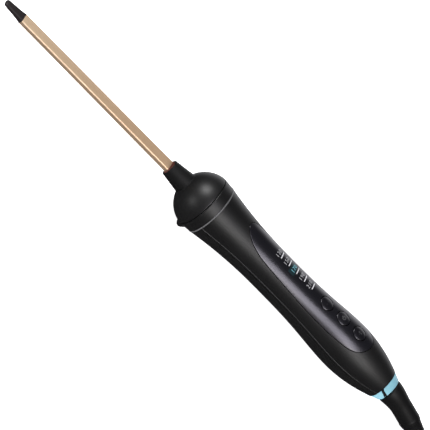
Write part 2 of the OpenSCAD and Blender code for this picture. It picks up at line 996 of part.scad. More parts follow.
// The tie's outline across the hank: flat on the table, up the sides and over the tail
module tie_outline(grow) {
    polygon([[-tie_y - grow, 0], [tie_y + grow, 0], [tie_y + grow, 2 * cord_d + grow / 2],
        [tie_y - 3 + grow / 2, 3 * cord_d + grow], [-4, 3 * cord_d + 4.4 + grow], [-14, 3 * cord_d + 3 + grow],
        [-tie_y - grow, 2 * cord_d + grow / 2]]);
}

module cord_tie() {
    color("#303034") {
        translate([tie_x - tie_w / 2, 0, 0]) rotate([90, 0, 90]) {
            linear_extrude(tie_w) {
                difference() {
                    tie_outline(tie_t);
                    tie_outline(0);
                }
            }
        }
    }
}

module plug_slice(x, long, w, t, r) {
    translate([plug_x + x, 0, plug_z]) rotate([0, 90, 0]) linear_extrude(long) rounded(w, t, r);
}

plug_relief = 14;

module plug_body() {
    color("#26262a") {
        difference() {
            union() {
                hull() {
                    plug_slice(0, 1, plug_w - 2, plug_t - 2, 4.2);
                    plug_slice(1.5, plug_len * 0.3, plug_w, plug_t, 5);
                    plug_slice(plug_len - 1, 1, 17, 11, 4.5);
                }
                translate([plug_x + plug_len - snug, 0, plug_z]) rotate([0, 90, 0])
                    cylinder(h = plug_relief + snug, r1 = 5.2, r2 = cord_d / 2 + 0.9, $fn = 32);
            }
            for (side = [-1, 1]) {
                translate([plug_x - past, side * pin_pitch / 2, plug_z]) rotate([0, 90, 0])
                    cylinder(h = 8 + past, r = sleeve_r, $fn = 32);
            }
            translate([plug_x + plug_len + plug_relief - 3, 0, plug_z]) rotate([0, 90, 0])
                cylinder(h = 10, r = cord_d / 2 + 0.4, $fn = 32);
        }
    }
}

// Each pin's bare end narrows to its sleeved part over pin_neck
pin_neck = 0.5;
pin_bare = pin_len - sleeve_len - pin_neck;

module plug_pins() {
    color("#c9c9cc") {
        for (side = [-1, 1]) {
            translate([plug_x - pin_len, side * pin_pitch / 2, plug_z]) rotate([0, 90, 0]) {
                cylinder(h = 1, r1 = pin_r - 0.8, r2 = pin_r, $fn = 32);
                translate([0, 0, 1]) cylinder(h = pin_bare - 1, r = pin_r, $fn = 32);
                translate([0, 0, pin_bare]) cylinder(h = pin_neck, r1 = pin_r, r2 = sleeve_r - 0.4, $fn = 32);
                translate([0, 0, pin_len - sleeve_len]) cylinder(h = sleeve_len + 8, r = sleeve_r - 0.4, $fn = 32);
            }
        }
    }
}

module pin_sleeves() {
    color("#1d1d20") {
        for (side = [-1, 1]) {
            translate([plug_x - sleeve_len, side * pin_pitch / 2, plug_z]) rotate([0, 90, 0]) {
                difference() {
                    cylinder(h = sleeve_len + 8, r = sleeve_r, $fn = 32);
                    translate([0, 0, -past]) cylinder(h = sleeve_len + 8 + 2 * past, r = sleeve_r - 0.4, $fn = 32);
                }
            }
        }
    }
}

cool_tip();
barrel_tube();
heater_strip();
heat_spreaders();
thermistor();
thermal_fuse();
neck_seal();
neck_sleeve();
dome_guard();
barrel_holder();
holder_screws();
heater_leads();
sensor_leads();
rest_foot();
trim_ring();
upper_shell();
lower_shell();
shell_screws();
control_panel();
light_guide();
main_board();
display_leds();
tact_switches();
controller_chip();
triac();
capacitor();
board_fuse();
board_screws();
power_button();
minus_button();
plus_button();
end_ring();
swivel_socket();
brush_contacts();
supply_leads();
swivel_drum();
contact_rings();
strain_relief();
cord_run();
cord_hank();
cord_tail();
cord_tie();
plug_body();
plug_pins();
pin_sleeves();
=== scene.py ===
"""Slim chopstick curling wand with its cord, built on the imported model's frame."""
import math

import bmesh
import bpy
from bpy.props import FloatProperty, FloatVectorProperty, IntProperty, PointerProperty
from mathutils import Matrix, Vector


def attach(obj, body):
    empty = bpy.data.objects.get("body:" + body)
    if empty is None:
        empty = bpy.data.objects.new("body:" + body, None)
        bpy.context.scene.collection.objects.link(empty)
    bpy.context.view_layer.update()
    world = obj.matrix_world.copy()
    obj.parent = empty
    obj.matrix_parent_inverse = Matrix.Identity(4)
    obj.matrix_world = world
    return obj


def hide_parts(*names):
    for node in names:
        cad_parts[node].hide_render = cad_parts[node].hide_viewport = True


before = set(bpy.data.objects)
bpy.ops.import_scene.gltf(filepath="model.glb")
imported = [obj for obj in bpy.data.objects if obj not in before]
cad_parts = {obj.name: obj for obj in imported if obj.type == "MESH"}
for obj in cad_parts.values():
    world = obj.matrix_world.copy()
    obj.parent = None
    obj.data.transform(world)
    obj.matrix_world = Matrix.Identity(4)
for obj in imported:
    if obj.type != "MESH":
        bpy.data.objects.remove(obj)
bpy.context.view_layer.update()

bl_info = {
    "name": "Curling Wand",
    "version": (1, 0, 0),
    "blender": (4, 5, 0),
    "location": "3D View > Sidebar > Wand",
    "description": "Builds a slim curling wand, its cord and its studio on the packed frame",
    "category": "Object",
}

MM = 0.001


# ---------------------------------------------------------------- sizes and colours

def size(name, value, about):
    return FloatProperty(name=name, default=value * MM, description=about, unit="LENGTH", subtype="DISTANCE",
                         precision=5)


def shade(name, value, about):
    return FloatVectorProperty(name=name, default=value, size=3, min=0.0, max=1.0, description=about,
                               subtype="COLOR")


class WandBarrelSizes(bpy.types.PropertyGroup):
    tip_len: size("Tip length", 15.7, "Length of the cool tip that shows")
    tip_w: size("Tip width", 7.8, "Width of the tip where it meets the barrel")
    tip_t: size("Tip thickness", 4.2, "Thickness of the tip where it meets the barrel")
    barrel_len: size("Barrel length", 137.7, "Length of the barrel between tip and neck")
    barrel_w: size("Barrel width", 8.5, "Width of the barrel at its root")
    barrel_t: size("Barrel thickness", 4.2, "Thickness of the barrel at its root")
    corner: size("Corner radius", 1.2, "Radius of the barrel's corners")
    taper: FloatProperty(name="Taper", default=0.94, min=0.8, max=1.0, subtype="FACTOR",
                         description="Width at the tip as a share of the width at the root")
    neck_len: size("Neck length", 14.9, "Length of the neck in front of the dome")
    mouth_r: size("Neck mouth radius", 5.9, "Outside radius of the neck at its mouth")
    root_r: size("Neck root radius", 7.9, "Outside radius of the neck where it enters the dome")
    dome_r: size("Dome radius", 20.3, "Outside radius of the heat guard")
    dome_set: size("Dome rim", 2.3, "From the dome's widest plane forward to its rim")


class WandHandleSizes(bpy.types.PropertyGroup):
    rim_gap: size("Rim gap", 0.4, "Gap between the dome's rim and the handle")
    band_len: size("Band length", 8.3, "Length of the band in front of the trim ring")
    front_r: size("Front radius", 19.5, "Radius of the handle behind the trim ring")
    waist_r: size("Waist radius", 15.0, "Radius of the waist")
    belly_r: size("Belly radius", 17.9, "Radius of the belly")
    end_r: size("End radius", 11.3, "Radius of the shells where the end ring starts")
    waist_run: size("Waist run", 55.0, "From the trim ring to the waist")
    belly_run: size("Belly run", 72.0, "From the waist to the belly")
    tail_run: size("Tail run", 35.9, "From the belly to the end of the shells")
    wall: size("Shell wall", 2.4, "Wall of the shells")
    seam: size("Seam", 0.3, "Width of the seam between the shells")
    trim_w: size("Trim width", 0.8, "Width of the trim ring")
    foot_r: size("Foot radius", 17.6, "Radius of the rest foot's crescent")
    foot_drop: size("Foot drop", 7.0, "How far the crescent's centre lies below the handle's axis")
    foot_t: size("Foot thickness", 3.8, "Thickness of the rest foot")
    stand: size("Standing height", 24.2, "Height of the axis above the table at the foot")
    lean: FloatProperty(name="Lean", default=math.radians(2.67944), subtype="ANGLE",
                        description="Nose-up angle at which the wand rests on foot and belly")
    ring_len: size("End ring length", 5.8, "Length of the end ring")
    ring_end_r: size("End ring radius", 9.0, "Radius of the end ring at its free end")
    ring_bore_r: size("End ring bore", 7.0, "Radius of the bore that the swivel turns in")
    key_w: size("Keyway width", 3.1, "Width of the slots in the end ring")
    key_angle: FloatProperty(name="Keyway angle", default=math.radians(66), subtype="ANGLE",
                             description="Angle of each slot from the panel's middle")


class WandPanelSizes(bpy.types.PropertyGroup):
    panel_set: size("Panel start", 22.0, "From the trim ring to the panel's point")
    panel_len: size("Panel length", 114.5, "Length of the panel")
    panel_w: size("Panel width", 26.2, "Width of the panel")
    panel_t: size("Panel thickness", 1.6, "Thickness of the panel")
    panel_gap: size("Panel gap", 0.2, "Gap around the panel")
    ledge: size("Ledge", 1.6, "Width of the ledge that the panel lies on")
    bar_set: size("First bar", 30.6, "From the panel's point to the first light bar")
    bar_pitch: size("Bar pitch", 7.25, "Distance between light bars")
    bar_len: size("Bar length", 6.3, "Length of a light bar")
    bar_w: size("Bar width", 0.65, "Width of a light bar")
    button_d: size("Button diameter", 10.0, "Diameter of a button")
    button_gap: size("Button gap", 0.2, "Gap round a button")
    button_set: size("First button", 73.5, "From the panel's point to the minus button")
    button_pitch: size("Button pitch", 14.55, "Distance between buttons")
    crown: size("Button crown", 0.5, "How far a button's middle stands over its rim")
    heat_first: IntProperty(name="Lowest heat", default=130, description="Lowest mark, in degrees")
    heat_step: IntProperty(name="Heat step", default=20, description="Step between marks, in degrees")


class WandCordSizes(bpy.types.PropertyGroup):
    cord_d: size("Cord diameter", 6.0, "Diameter of the cord")
    cord_len: FloatProperty(name="Cord length", default=1.8, unit="LENGTH", subtype="DISTANCE",
                            description="Real length of the cord")
    relief_root_r: size("Relief root radius", 8.7, "Radius of the strain relief at the handle")
    relief_mid_r: size("Relief middle radius", 7.1, "Radius of the strain relief at its middle")
    relief_end_r: size("Relief end radius", 4.2, "Radius of the strain relief at the cord")
    hank_x: size("Hank start", 278.0, "Where the hank's straight runs start")
    hank_run: size("Hank run", 120.0, "Length of the hank's straight runs")
    hank_fold: size("Hank fold", 18.0, "Radius of the hank's inner folds")
    tie_x: size("Tie place", 366.0, "Middle of the tie round the hank")
    tie_w: size("Tie width", 12.0, "Width of the tie")
    plug_x: size("Plug place", 300.0, "Face of the plug that its pins stand on")


class WandFinishes(bpy.types.PropertyGroup):
    barrel: shade("Barrel", (0.79, 0.545, 0.345), "Rose-gold coating of the barrel")
    barrel_light: shade("Barrel, light", (0.97, 0.735, 0.50), "The coating near the tip")
    # painted shade: the barrel's narrow sides get this darker colour in place of the shade they fall in
    barrel_side: shade("Barrel, narrow sides", (0.40, 0.285, 0.19), "Narrow sides of the barrel")
    tip: shade("Tip", (0.016, 0.0115, 0.0125), "Heat-resistant tip")
    seal: shade("Seal", (0.13, 0.045, 0.035), "Silicone seal at the neck's mouth")
    shell: shade("Shell", (0.0060, 0.0060, 0.0063), "Matt plastic of the handle and guard")
    trim: shade("Trim", (0.13, 0.13, 0.135), "Thin silver-painted ring")
    panel: shade("Panel", (0.0075, 0.0075, 0.0100), "Glossy control panel")
    mark: shade("Marks", (0.66, 0.66, 0.69), "Printed marks and light bars")
    lit: shade("Lit mark", (0.16, 0.42, 0.50), "The mark that is lit")
    ring: shade("End ring", (0.27, 0.56, 0.67), "Blue ring at the cord's end")
    cord: shade("Cord", (0.0055, 0.0055, 0.0058), "Cord, strain relief and plug")


class WandStudio(bpy.types.PropertyGroup):
    distance: FloatProperty(name="Distance", default=8.0, unit="LENGTH", description="Camera to wand")
    span: FloatProperty(name="Span", default=0.2752, unit="LENGTH",
                        description="Width of the view at the wand")
    target_x: size("Target", 197.3, "Station of the handle's axis at the middle of the view")
    target_off: size("Target offset", 0.6, "How far the middle of the view lies off the axis")
    back: FloatVectorProperty(name="View", default=(-0.27, -0.669, 0.692), size=3,
                              description="From the wand to the camera, in the handle's own frame")
    dip: FloatProperty(name="Dip", default=math.radians(45.4), subtype="ANGLE",
                       description="Angle of the handle below the horizontal in the view")
    key: FloatProperty(name="Key light", default=7.5, unit="POWER", description="Power of the small softbox")
    overhead: FloatProperty(name="Overhead light", default=3.2, unit="POWER",
                            description="Power of the softbox that the panel mirrors")
    rear: FloatProperty(name="Rear light", default=5.0, unit="POWER",
                        description="Power of the softbox on the cord's side")
    fill: FloatProperty(name="Fill light", default=2.0, unit="POWER", description="Power of the side softbox")
    floor: FloatProperty(name="Floor", default=0.94, min=0.0, max=1.0, description="Paleness of the floor")


def sizes():
    scene = bpy.context.scene
    return scene.wand_barrel, scene.wand_handle, scene.wand_panel, scene.wand_cord


def paints():
    return bpy.context.scene.wand_finish


# ---------------------------------------------------------------- shader expressions

class Value:
    """A node's output; arithmetic on it adds Math nodes."""

    def __init__(self, paint, socket):
        self.paint, self.socket = paint, socket

    def _math(self, operation, *terms):
        return self.paint.node("ShaderNodeMath", {"operation": operation}, dict(enumerate(terms)))

    def __add__(self, other):
        return self._math("ADD", self, other)

    __radd__ = __add__

    def __sub__(self, other):
        return self._math("SUBTRACT", self, other)

    def __rsub__(self, other):
        return self._math("SUBTRACT", other, self)

    def __mul__(self, other):
        return self._math("MULTIPLY", self, other)

    __rmul__ = __mul__

    def above(self, low, high):
        """0 below low, 1 above high, smooth between."""
        return self.paint.node("ShaderNodeMapRange", {"interpolation_type": "SMOOTHSTEP"},
                               {"Value": self, "From Min": low, "From Max": high})


class Nodes:
    """A node tree; node() adds any node."""

    def __init__(self, tree):
        self.nodes, self.links = tree.nodes, tree.links
        self.nodes.clear()

    def feed(self, socket, value):
        if isinstance(value, Value):
            self.links.new(value.socket, socket)
        elif hasattr(socket.default_value, "__len__"):
            value = tuple(value)
            socket.default_value = value + (1.0,) * (len(socket.default_value) - len(value))
        else:
            socket.default_value = value

    def node(self, kind, settings=None, sockets=None, outlet=0):
        """Adds a node: its settings first, then its sockets; gives the node itself when outlet is None."""
        made = self.nodes.new(kind)
        for key, value in (settings or {}).items():
            if key == "stops":
                ramp = made.color_ramp.elements
                while len(ramp) < len(value):
                    ramp.new(0.5)
                for stop, (at, grey) in zip(ramp, value):
                    stop.position, stop.color = at, (grey, grey, grey, 1.0)
            else:
                setattr(made, key, value)
        for key, value in (sockets or {}).items():
            self.feed(made.inputs[key], value)
        return made if outlet is None else Value(self, made.outputs[outlet])


class Paint(Nodes):
    def __init__(self, name):
        self.material = bpy.data.materials.new(name)
        self.material.use_nodes = True
        super().__init__(self.material.node_tree)
        self.surface = self.nodes.new("ShaderNodeBsdfPrincipled")
        output = self.nodes.new("ShaderNodeOutputMaterial")
        self.links.new(self.surface.outputs["BSDF"], output.inputs["Surface"])
        self.place = self.node("ShaderNodeTexCoord", outlet="Object")

    def stretch(self, x, y, z):
        """The piece's own coordinates, scaled along each axis."""
        return self.node("ShaderNodeVectorMath", {"operation": "MULTIPLY"}, {0: self.place, 1: (x, y, z)})

    def along(self, axis):
        return self.node("ShaderNodeSeparateXYZ", sockets={0: self.place}, outlet=axis)

    def noise(self, scale, detail=2.0, where=None, rough=0.5):
        return self.node("ShaderNodeTexNoise", sockets={"Vector": where or self.place, "Scale": scale,
                                                        "Detail": detail, "Roughness": rough})

    def blend(self, factor, a, b):
        return self.node("ShaderNodeMix", {"data_type": "RGBA"}, {0: factor, 6: a, 7: b}, outlet=2)

    def bump(self, height, strength, depth):
        sockets = {"Height": height, "Strength": strength, "Distance": depth}
        return self.node("ShaderNodeBump", sockets=sockets, outlet="Normal")

    def finish(self, **sockets):
        for key, value in sockets.items():
            self.feed(self.surface.inputs[key.replace("_", " ").title().replace("Ior", "IOR")], value)
        return self.material


def tinted(colour, share):
    return tuple(min(1.0, c * share) for c in colour)


def moulded(name, colour, rough=0.46, grain=2600.0, bite=0.16, specular=0.5):
    """Moulded plastic: fine spark-eroded grain, cloudy sheen and a few dry handling marks."""
    p = Paint(name)
    cloud = p.noise(38.0, 3.0)
    fine = p.noise(grain, 2.0)
    scuff = p.noise(1.0, 4.0, p.stretch(110.0, 900.0, 900.0)).above(0.62, 0.74)
    return p.finish(
        base_color=p.blend(cloud * 0.7 + scuff * 0.25, tinted(colour, 0.82), tinted(colour, 1.28)),
        roughness=rough - 0.05 + cloud * 0.1 + scuff * 0.06 + fine * 0.03,
        normal=p.bump(fine, bite, 0.00006),
        specular_ior_level=specular)


def coated_barrel():
    """Satin ceramic coating: draw lines along it, paler towards the tip, with painted shade on the narrow
    sides.
    """
    f = paints()
    p = Paint("barrel_coating_and_side_shade")
    lines = p.noise(1.0, 3.0, p.stretch(22.0, 5200.0, 5200.0))
    pale = 1 - p.along("X").above(0.0, 0.15)
    cloud = p.noise(60.0, 3.0)
    specks = p.noise(2600.0, 1.0)
    weave = p.noise(1.0, 3.0, p.stretch(520.0, 1150.0, 1150.0), 0.7)
    height = p.node("ShaderNodeMath", {"operation": "ABSOLUTE"}, {0: p.along("Z")})
    # painted shade: within about 1 mm of the barrel's middle plane (the narrow sides and the lower part of
    # their corners) the darker side colour is mixed in
    side = 1 - height.above(0.0009, 0.0014)
    face = p.blend(pale * 0.8 + (cloud - 0.5) * 0.3 + (lines - 0.5) * 0.5 + (weave - 0.5) * 1.3, f.barrel,
                   f.barrel_light)
    return p.finish(
        base_color=p.blend(side, face, f.barrel_side),
        metallic=0.5,
        roughness=0.25 + lines * 0.12 + cloud * 0.05,
        normal=p.bump(lines * 0.7 + specks * 0.3, 0.12, 0.00004),
        coat_weight=0.2, coat_roughness=0.22)


def drawn_metal(name, colour, rough=0.28, turn=(30.0, 3000.0, 3000.0)):
    p = Paint(name)
    lines = p.noise(1.0, 2.0, p.stretch(*turn))
    cloud = p.noise(90.0, 2.0)
    return p.finish(base_color=p.blend(cloud, tinted(colour, 0.9), tinted(colour, 1.08)), metallic=1.0,
                    roughness=rough - 0.04 + lines * 0.1, normal=p.bump(lines, 0.08, 0.00002))


def gloss_panel(name, colour, rough=0.29, specular=0.75):
    """Semi-gloss panel plastic: faint moulding waves and hairline polishing marks."""
    p = Paint(name)
    waves = p.noise(55.0, 1.0)
    hair = p.noise(1.0, 3.0, p.stretch(160.0, 2600.0, 2600.0))
    return p.finish(base_color=p.blend(waves, tinted(colour, 0.85), tinted(colour, 1.2)),
                    roughness=rough + (waves - 0.5) * 0.05 + hair.above(0.6, 0.75) * 0.04,
                    normal=p.bump(waves, 0.05, 0.0003), specular_ior_level=specular,
                    specular_tint=(0.95, 0.93, 1.0))


def soft_rubber(name, colour, rough=0.5, grain=1500.0, specular=0.2):
    p = Paint(name)
    cloud = p.noise(70.0, 3.0)
    fine = p.noise(grain, 2.0)
    return p.finish(base_color=p.blend(cloud, tinted(colour, 0.85), tinted(colour, 1.3)),
                    roughness=rough - 0.05 + cloud * 0.1, normal=p.bump(fine, 0.12, 0.00005),
                    specular_ior_level=specular)


def blue_ring():
    p = Paint("end_ring_blue")
    cloud = p.noise(220.0, 2.0)
    fine = p.noise(1800.0, 1.0)
    colour = paints().ring
    return p.finish(base_color=p.blend(cloud, tinted(colour, 0.93), tinted(colour, 1.08)),
                    roughness=0.3 + cloud * 0.08, normal=p.bump(fine, 0.06, 0.00004),
                    subsurface_weight=0.12, subsurface_radius=(0.001, 0.002, 0.003))


def printed(name, colour, glow=0.0, rough=0.45):
    p = Paint(name)
    dots = p.noise(4200.0, 2.0)
    cloud = p.noise(900.0, 2.0)
    tone = p.blend(dots * 0.5 + cloud * 0.5, tinted(colour, 0.9), tinted(colour, 1.08))
    return p.finish(base_color=tone, roughness=rough + cloud * 0.1, normal=p.bump(dots, 0.05, 0.00002),
                    emission_color=tone, emission_strength=glow)


def circuit_board():
    p = Paint("board_laminate")
    tracks = p.node("ShaderNodeTexBrick", {"offset": 0.37, "squash": 0.8},
                    {"Vector": p.place, "Color1": (0.012, 0.075, 0.03), "Color2": (0.018, 0.1, 0.045),
                     "Mortar": (0.03, 0.17, 0.07), "Scale": 160.0, "Mortar Size": 0.09}, outlet="Color")
    weave = p.noise(2500.0, 2.0)
    return p.finish(base_color=tracks, roughness=0.34 + weave * 0.12, normal=p.bump(weave, 0.1, 0.00004))


def chalky(name, colour, rough=0.6, pit=900.0):
    p = Paint(name)
    pits = p.noise(pit, 4.0)
    cloud = p.noise(120.0, 2.0)
    return p.finish(base_color=p.blend(pits * 0.5 + cloud * 0.5, tinted(colour, 0.86), tinted(colour, 1.06)),
                    roughness=rough + pits * 0.1, normal=p.bump(pits, 0.15, 0.00005))


def woven_tie():
    """Woven strap: two crossing sets of threads."""
    p = Paint("tie_weave")
    pitch = {"Vector": p.place, "Scale": 420.0, "Distortion": 0.6}
    warp = p.node("ShaderNodeTexWave", {"bands_direction": "X"}, pitch)
    weft = p.node("ShaderNodeTexWave", {"bands_direction": "Y"}, pitch)
    fuzz = p.noise(3000.0, 3.0)
    threads = warp * weft
    colour = paints().cord
    return p.finish(base_color=p.blend(threads * 0.7 + fuzz * 0.3, tinted(colour, 0.9), tinted(colour, 2.4)),
                    roughness=0.78 + fuzz * 0.15, normal=p.bump(threads + fuzz * 0.3, 0.4, 0.00015))


made_paints = {}


def paint(maker, *settings, **extra):
    """One material per maker and name, made once."""
    key = (maker.__name__,) + settings[:1]
    if key not in made_paints:
        made_paints[key] = maker(*settings, **extra)
    return made_paints[key]


# ---------------------------------------------------------------- shape tools

def laid():
    """From the handle's own frame to the table: nose up, foot and belly on the floor."""
    h = sizes()[1]
    foot_mid = band_x() + 0.1 * MM + h.foot_t / 2
    tail = end_x() + h.ring_len
    return (Matrix.Translation((foot_mid - tail / 2, 0, h.stand)) @ Matrix.Rotation(h.lean, 4, "Y")
            @ Matrix.Translation((-foot_mid, 0, 0)))


def neck_x():
    b = sizes()[0]
    return b.tip_len + b.barrel_len


def dome_mid():
    b = sizes()[0]
    return neck_x() + b.neck_len + math.sqrt(b.dome_r ** 2 - b.root_r ** 2)


def rim_x():
    return dome_mid() - sizes()[0].dome_set


def band_x():
    return rim_x() + sizes()[1].rim_gap


def trim_x():
    return rim_x() + sizes()[1].band_len


def waist_x():
    return trim_x() + sizes()[1].waist_run


def belly_x():
    return waist_x() + sizes()[1].belly_run


def end_x():
    return belly_x() + sizes()[1].tail_run


def panel_x():
    return trim_x() + sizes()[2].panel_set


def barrel_share(x):
    """The barrel's width at a station, as a share of the width at its root."""
    b = sizes()[0]
    return b.taper + (1 - b.taper) * (x - b.tip_len) / b.barrel_len


def handle_r(x):
    """Outside radius of the handle at a station."""
    b, h = sizes()[:2]
    band_r = math.sqrt(b.dome_r ** 2 - b.dome_set ** 2)
    if x < trim_x():
        return band_r + (h.front_r - band_r) * (x - band_x()) / (trim_x() - band_x())
    if x < waist_x():
        return h.waist_r + (h.front_r - h.waist_r) * ((waist_x() - x) / h.waist_run) ** 2
    if x < belly_x():
        turn = math.pi * ((x - waist_x()) / h.belly_run) ** 1.7
        return h.waist_r + (h.belly_r - h.waist_r) * (1 - math.cos(turn)) / 2
    return h.belly_r - (h.belly_r - h.end_r) * ((x - belly_x()) / h.tail_run) ** 2


def panel_half(x, grow=0.0):
    """Half the panel's width at a station, its outline moved out by grow."""
    p = sizes()[2]
    start, length = panel_x(), p.panel_len
    x = start + (x - start + grow) * length / (length + 2 * grow)
    belly, nose = start + 0.75 * length, 25 * MM
    if not start < x < start + length:
        return 0.0
    half = p.panel_w / 2 - 0.049 * max(0.0, belly - x)
    if x < start + nose:
        half *= math.sqrt(max(0.0, 1 - ((start + nose - x) / nose) ** 2.4))
    if x > belly:
        half *= math.sqrt(max(0.0, 1 - ((x - belly) / (start + length - belly)) ** 4.4))
    return max(0.0, half + grow)


def on_handle(x, y, inset=0.0):
    """The point of the handle's upper surface over (x, y), moved in by inset."""
    r = handle_r(x)
    y = max(-r, min(r, y))
    share = (r - inset) / r
    return Vector((x, y * share, math.sqrt(r * r - y * y) * share))


def spaced(start, stop, steps, ease=False):
    if ease:
        return [start + (stop - start) * (1 - math.cos(math.pi * i / steps)) / 2 for i in range(steps + 1)]
    return [start + (stop - start) * i / steps for i in range(steps + 1)]


def around(count):
    """Cosine and sine of even steps round a circle."""
    turn = 2 * math.pi
    return [(math.cos(turn * k / count), math.sin(turn * k / count)) for k in range(count)]


def add_piece(name, verts, faces, material, body, slot, nodes=(), place=None, crease=35.0):
    """A mesh piece in the handle's frame, laid on the table, riding on a body."""
    mesh = bpy.data.meshes.new(name)
    mesh.from_pydata([tuple(v) for v in verts], [], faces)
    bm = bmesh.new()
    bm.from_mesh(mesh)
    bmesh.ops.remove_doubles(bm, verts=bm.verts, dist=1e-6)
    bmesh.ops.dissolve_degenerate(bm, edges=bm.edges, dist=1e-7)
    bmesh.ops.recalc_face_normals(bm, faces=bm.faces)
    bm.to_mesh(mesh)
    bm.free()
    piece = bpy.data.objects.new(name, mesh)
    bpy.context.collection.objects.link(piece)
    piece.matrix_world = laid() if place is None else place
    mesh.materials.append(material)
    smooth(piece, crease)
    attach(piece, body)
    if nodes:
        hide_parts(*nodes)
    return piece


def smooth(piece, crease):
    mesh = piece.data
    mesh.shade_smooth()
    mesh.set_sharp_from_angle(angle=math.radians(crease))


def cut(piece, cutters, crease=35.0):
    """Cuts each cutter, a (verts, faces) pair in the piece's own frame, out of it."""
    bpy.context.view_layer.update()
    for verts, faces in cutters:
        mesh = bpy.data.meshes.new("cutter")
        mesh.from_pydata([tuple(v) for v in verts], [], faces)
        bm = bmesh.new()
        bm.from_mesh(mesh)
        bmesh.ops.recalc_face_normals(bm, faces=bm.faces)
        bm.to_mesh(mesh)
        bm.free()
        tool = bpy.data.objects.new("cutter", mesh)
        bpy.context.collection.objects.link(tool)
        tool.matrix_world = piece.matrix_world
        bite = piece.modifiers.new("cut", "BOOLEAN")
        bite.operation, bite.solver, bite.object = "DIFFERENCE", "EXACT", tool
        bpy.context.view_layer.update()
        worked = bpy.data.meshes.new_from_object(piece.evaluated_get(bpy.context.evaluated_depsgraph_get()))
        piece.modifiers.clear()
        old, piece.data = piece.data, worked
        worked.name = piece.name
        bpy.data.meshes.remove(old)
        bpy.data.objects.remove(tool)
    smooth(piece, crease)


def settle(piece, facing, spread=22.0):
    """Gives faces that follow a known form that form's own normals, so cuts leave no ripples."""
    mesh = piece.data
    limit = math.cos(math.radians(spread))
    normals = []
    for face in mesh.polygons:
        for index in face.vertices:
            wanted = facing(mesh.vertices[index].co)
            ok = wanted is not None and wanted.dot(face.normal) > limit
            normals.append(tuple(wanted) if ok else (0.0, 0.0, 0.0))
    mesh.normals_split_custom_set(normals)


def handle_facing(co):
    """The handle's outward normal at a point on its surface."""
    step = 0.05 * MM
    r = math.hypot(co.y, co.z)
    if r < 1 * MM or not band_x() + step < co.x < end_x() - step or abs(r - handle_r(co.x)) > 0.03 * MM:
        return None
    slope = (handle_r(co.x + step) - handle_r(co.x - step)) / (2 * step)
    return Vector((-slope, co.y / r, co.z / r)).normalized()


def rounded(points, steps=5):
    """A closed outline from (a, b, fillet) corners."""
    out = []
    for i, (a, b, fillet) in enumerate(points):
        here = Vector((a, b))
        before, after = Vector(points[i - 1][:2]), Vector(points[(i + 1) % len(points)][:2])
        if fillet <= 0:
            out.append(here)
            continue
        u, v = (before - here), (after - here)
        back, on = min(fillet, u.length * 0.49), min(fillet, v.length * 0.49)
        p0, p2 = here + u.normalized() * back, here + v.normalized() * on
        for k in range(steps + 1):
            t = k / steps
            out.append(p0 * (1 - t) ** 2 + here * 2 * t * (1 - t) + p2 * t * t)
    return out


def lathe(outline, segments=128):
    """Turns a closed outline of (station, radius) round the handle's axis."""
    verts, faces, n = [], [], len(outline)
    for ca, sa in around(segments):
        verts += [(p[0], p[1] * ca, p[1] * sa) for p in outline]
    for k in range(segments):
        a, b = k * n, (k + 1) % segments * n
        faces += [(a + i, a + (i + 1) % n, b + (i + 1) % n, b + i) for i in range(n)]
    return verts, faces


def skin(rings, close=True):
    """Joins rings of equal count, with caps at both ends unless close is off."""
    verts = [v for ring in rings for v in ring]
    n = len(rings[0])
    faces = [(i * n + k, i * n + (k + 1) % n, (i + 1) * n + (k + 1) % n, (i + 1) * n + k)
             for i in range(len(rings) - 1) for k in range(n)]
    if close:
        faces += [tuple(range(n))[::-1], tuple(range(len(verts) - n, len(verts)))]
    return verts, faces


def joined(parts):
    """Several (verts, faces) meshes as one."""
    verts, faces = [], []
    for more, more_faces in parts:
        faces += [tuple(k + len(verts) for k in face) for face in more_faces]
        verts += more
    return verts, faces


def bar_ring(x, w, t, corner, steps=7):
    """A ring of points: a rounded bar's section across the axis, w wide and t thick."""
    corner = min(corner, w / 2 - 1e-5, t / 2 - 1e-5)
    half_w, half_t = w / 2 - corner, t / 2 - corner
    out = []
    for q, (sy, sz) in enumerate(((1, 1), (-1, 1), (-1, -1), (1, -1))):
        for k in range(steps + 1):
            a = math.pi / 2 * (q + k / steps)
            out.append((x, sy * half_w + corner * math.cos(a), sz * half_t + corner * math.sin(a)))
    return out


def tube(line, radii, sides=24):
    """Rings round a line, for skin()."""
    rings = []
    for i, here in enumerate(line):
        way = (line[min(i + 1, len(line) - 1)] - line[max(i - 1, 0)]).normalized()
        out = way.cross(Vector((0, 0, 1))).normalized()
        up = out.cross(way)
        rings.append([here + radii[i] * (ca * out + sa * up) for ca, sa in around(sides)])
    return rings


# ---------------------------------------------------------------- camera and light

def make_camera():
    s = bpy.context.scene.wand_studio
    lay = laid()
    turn = lay.to_3x3()
    back = (turn @ Vector(s.back)).normalized()
    axis = turn @ Vector((1, 0, 0))
    along = (axis - back * axis.dot(back)).normalized()
    across = back.cross(along)
    right = math.cos(s.dip) * along + math.sin(s.dip) * across
    up = back.cross(right)
    target = lay @ Vector((s.target_x, 0, 0)) - across * s.target_off
    data = bpy.data.cameras.new("camera")
    data.sensor_width = 36.0
    data.lens = 36.0 * s.distance / s.span
    data.clip_start, data.clip_end = 0.05, 50.0
    camera = bpy.data.objects.new("camera", data)
    bpy.context.collection.objects.link(camera)
    camera.matrix_world = Matrix.Translation(target + back * s.distance) @ Matrix(
        (right, up, back)).transposed().to_4x4()
    bpy.context.scene.camera = camera
    return right, up, back, target


def softbox(name, where, target, width, height, power, colour=(1, 1, 1)):
    data = bpy.data.lights.new(name, "AREA")
    data.shape, data.size, data.size_y = "RECTANGLE", width, height
    data.energy, data.color = power, colour
    lamp = bpy.data.objects.new(name, data)
    lamp.visible_camera = False
    bpy.context.collection.objects.link(lamp)
    lamp.location = where
    lamp.rotation_euler = (Vector(target) - Vector(where)).to_track_quat("-Z", "Y").to_euler()
    return lamp


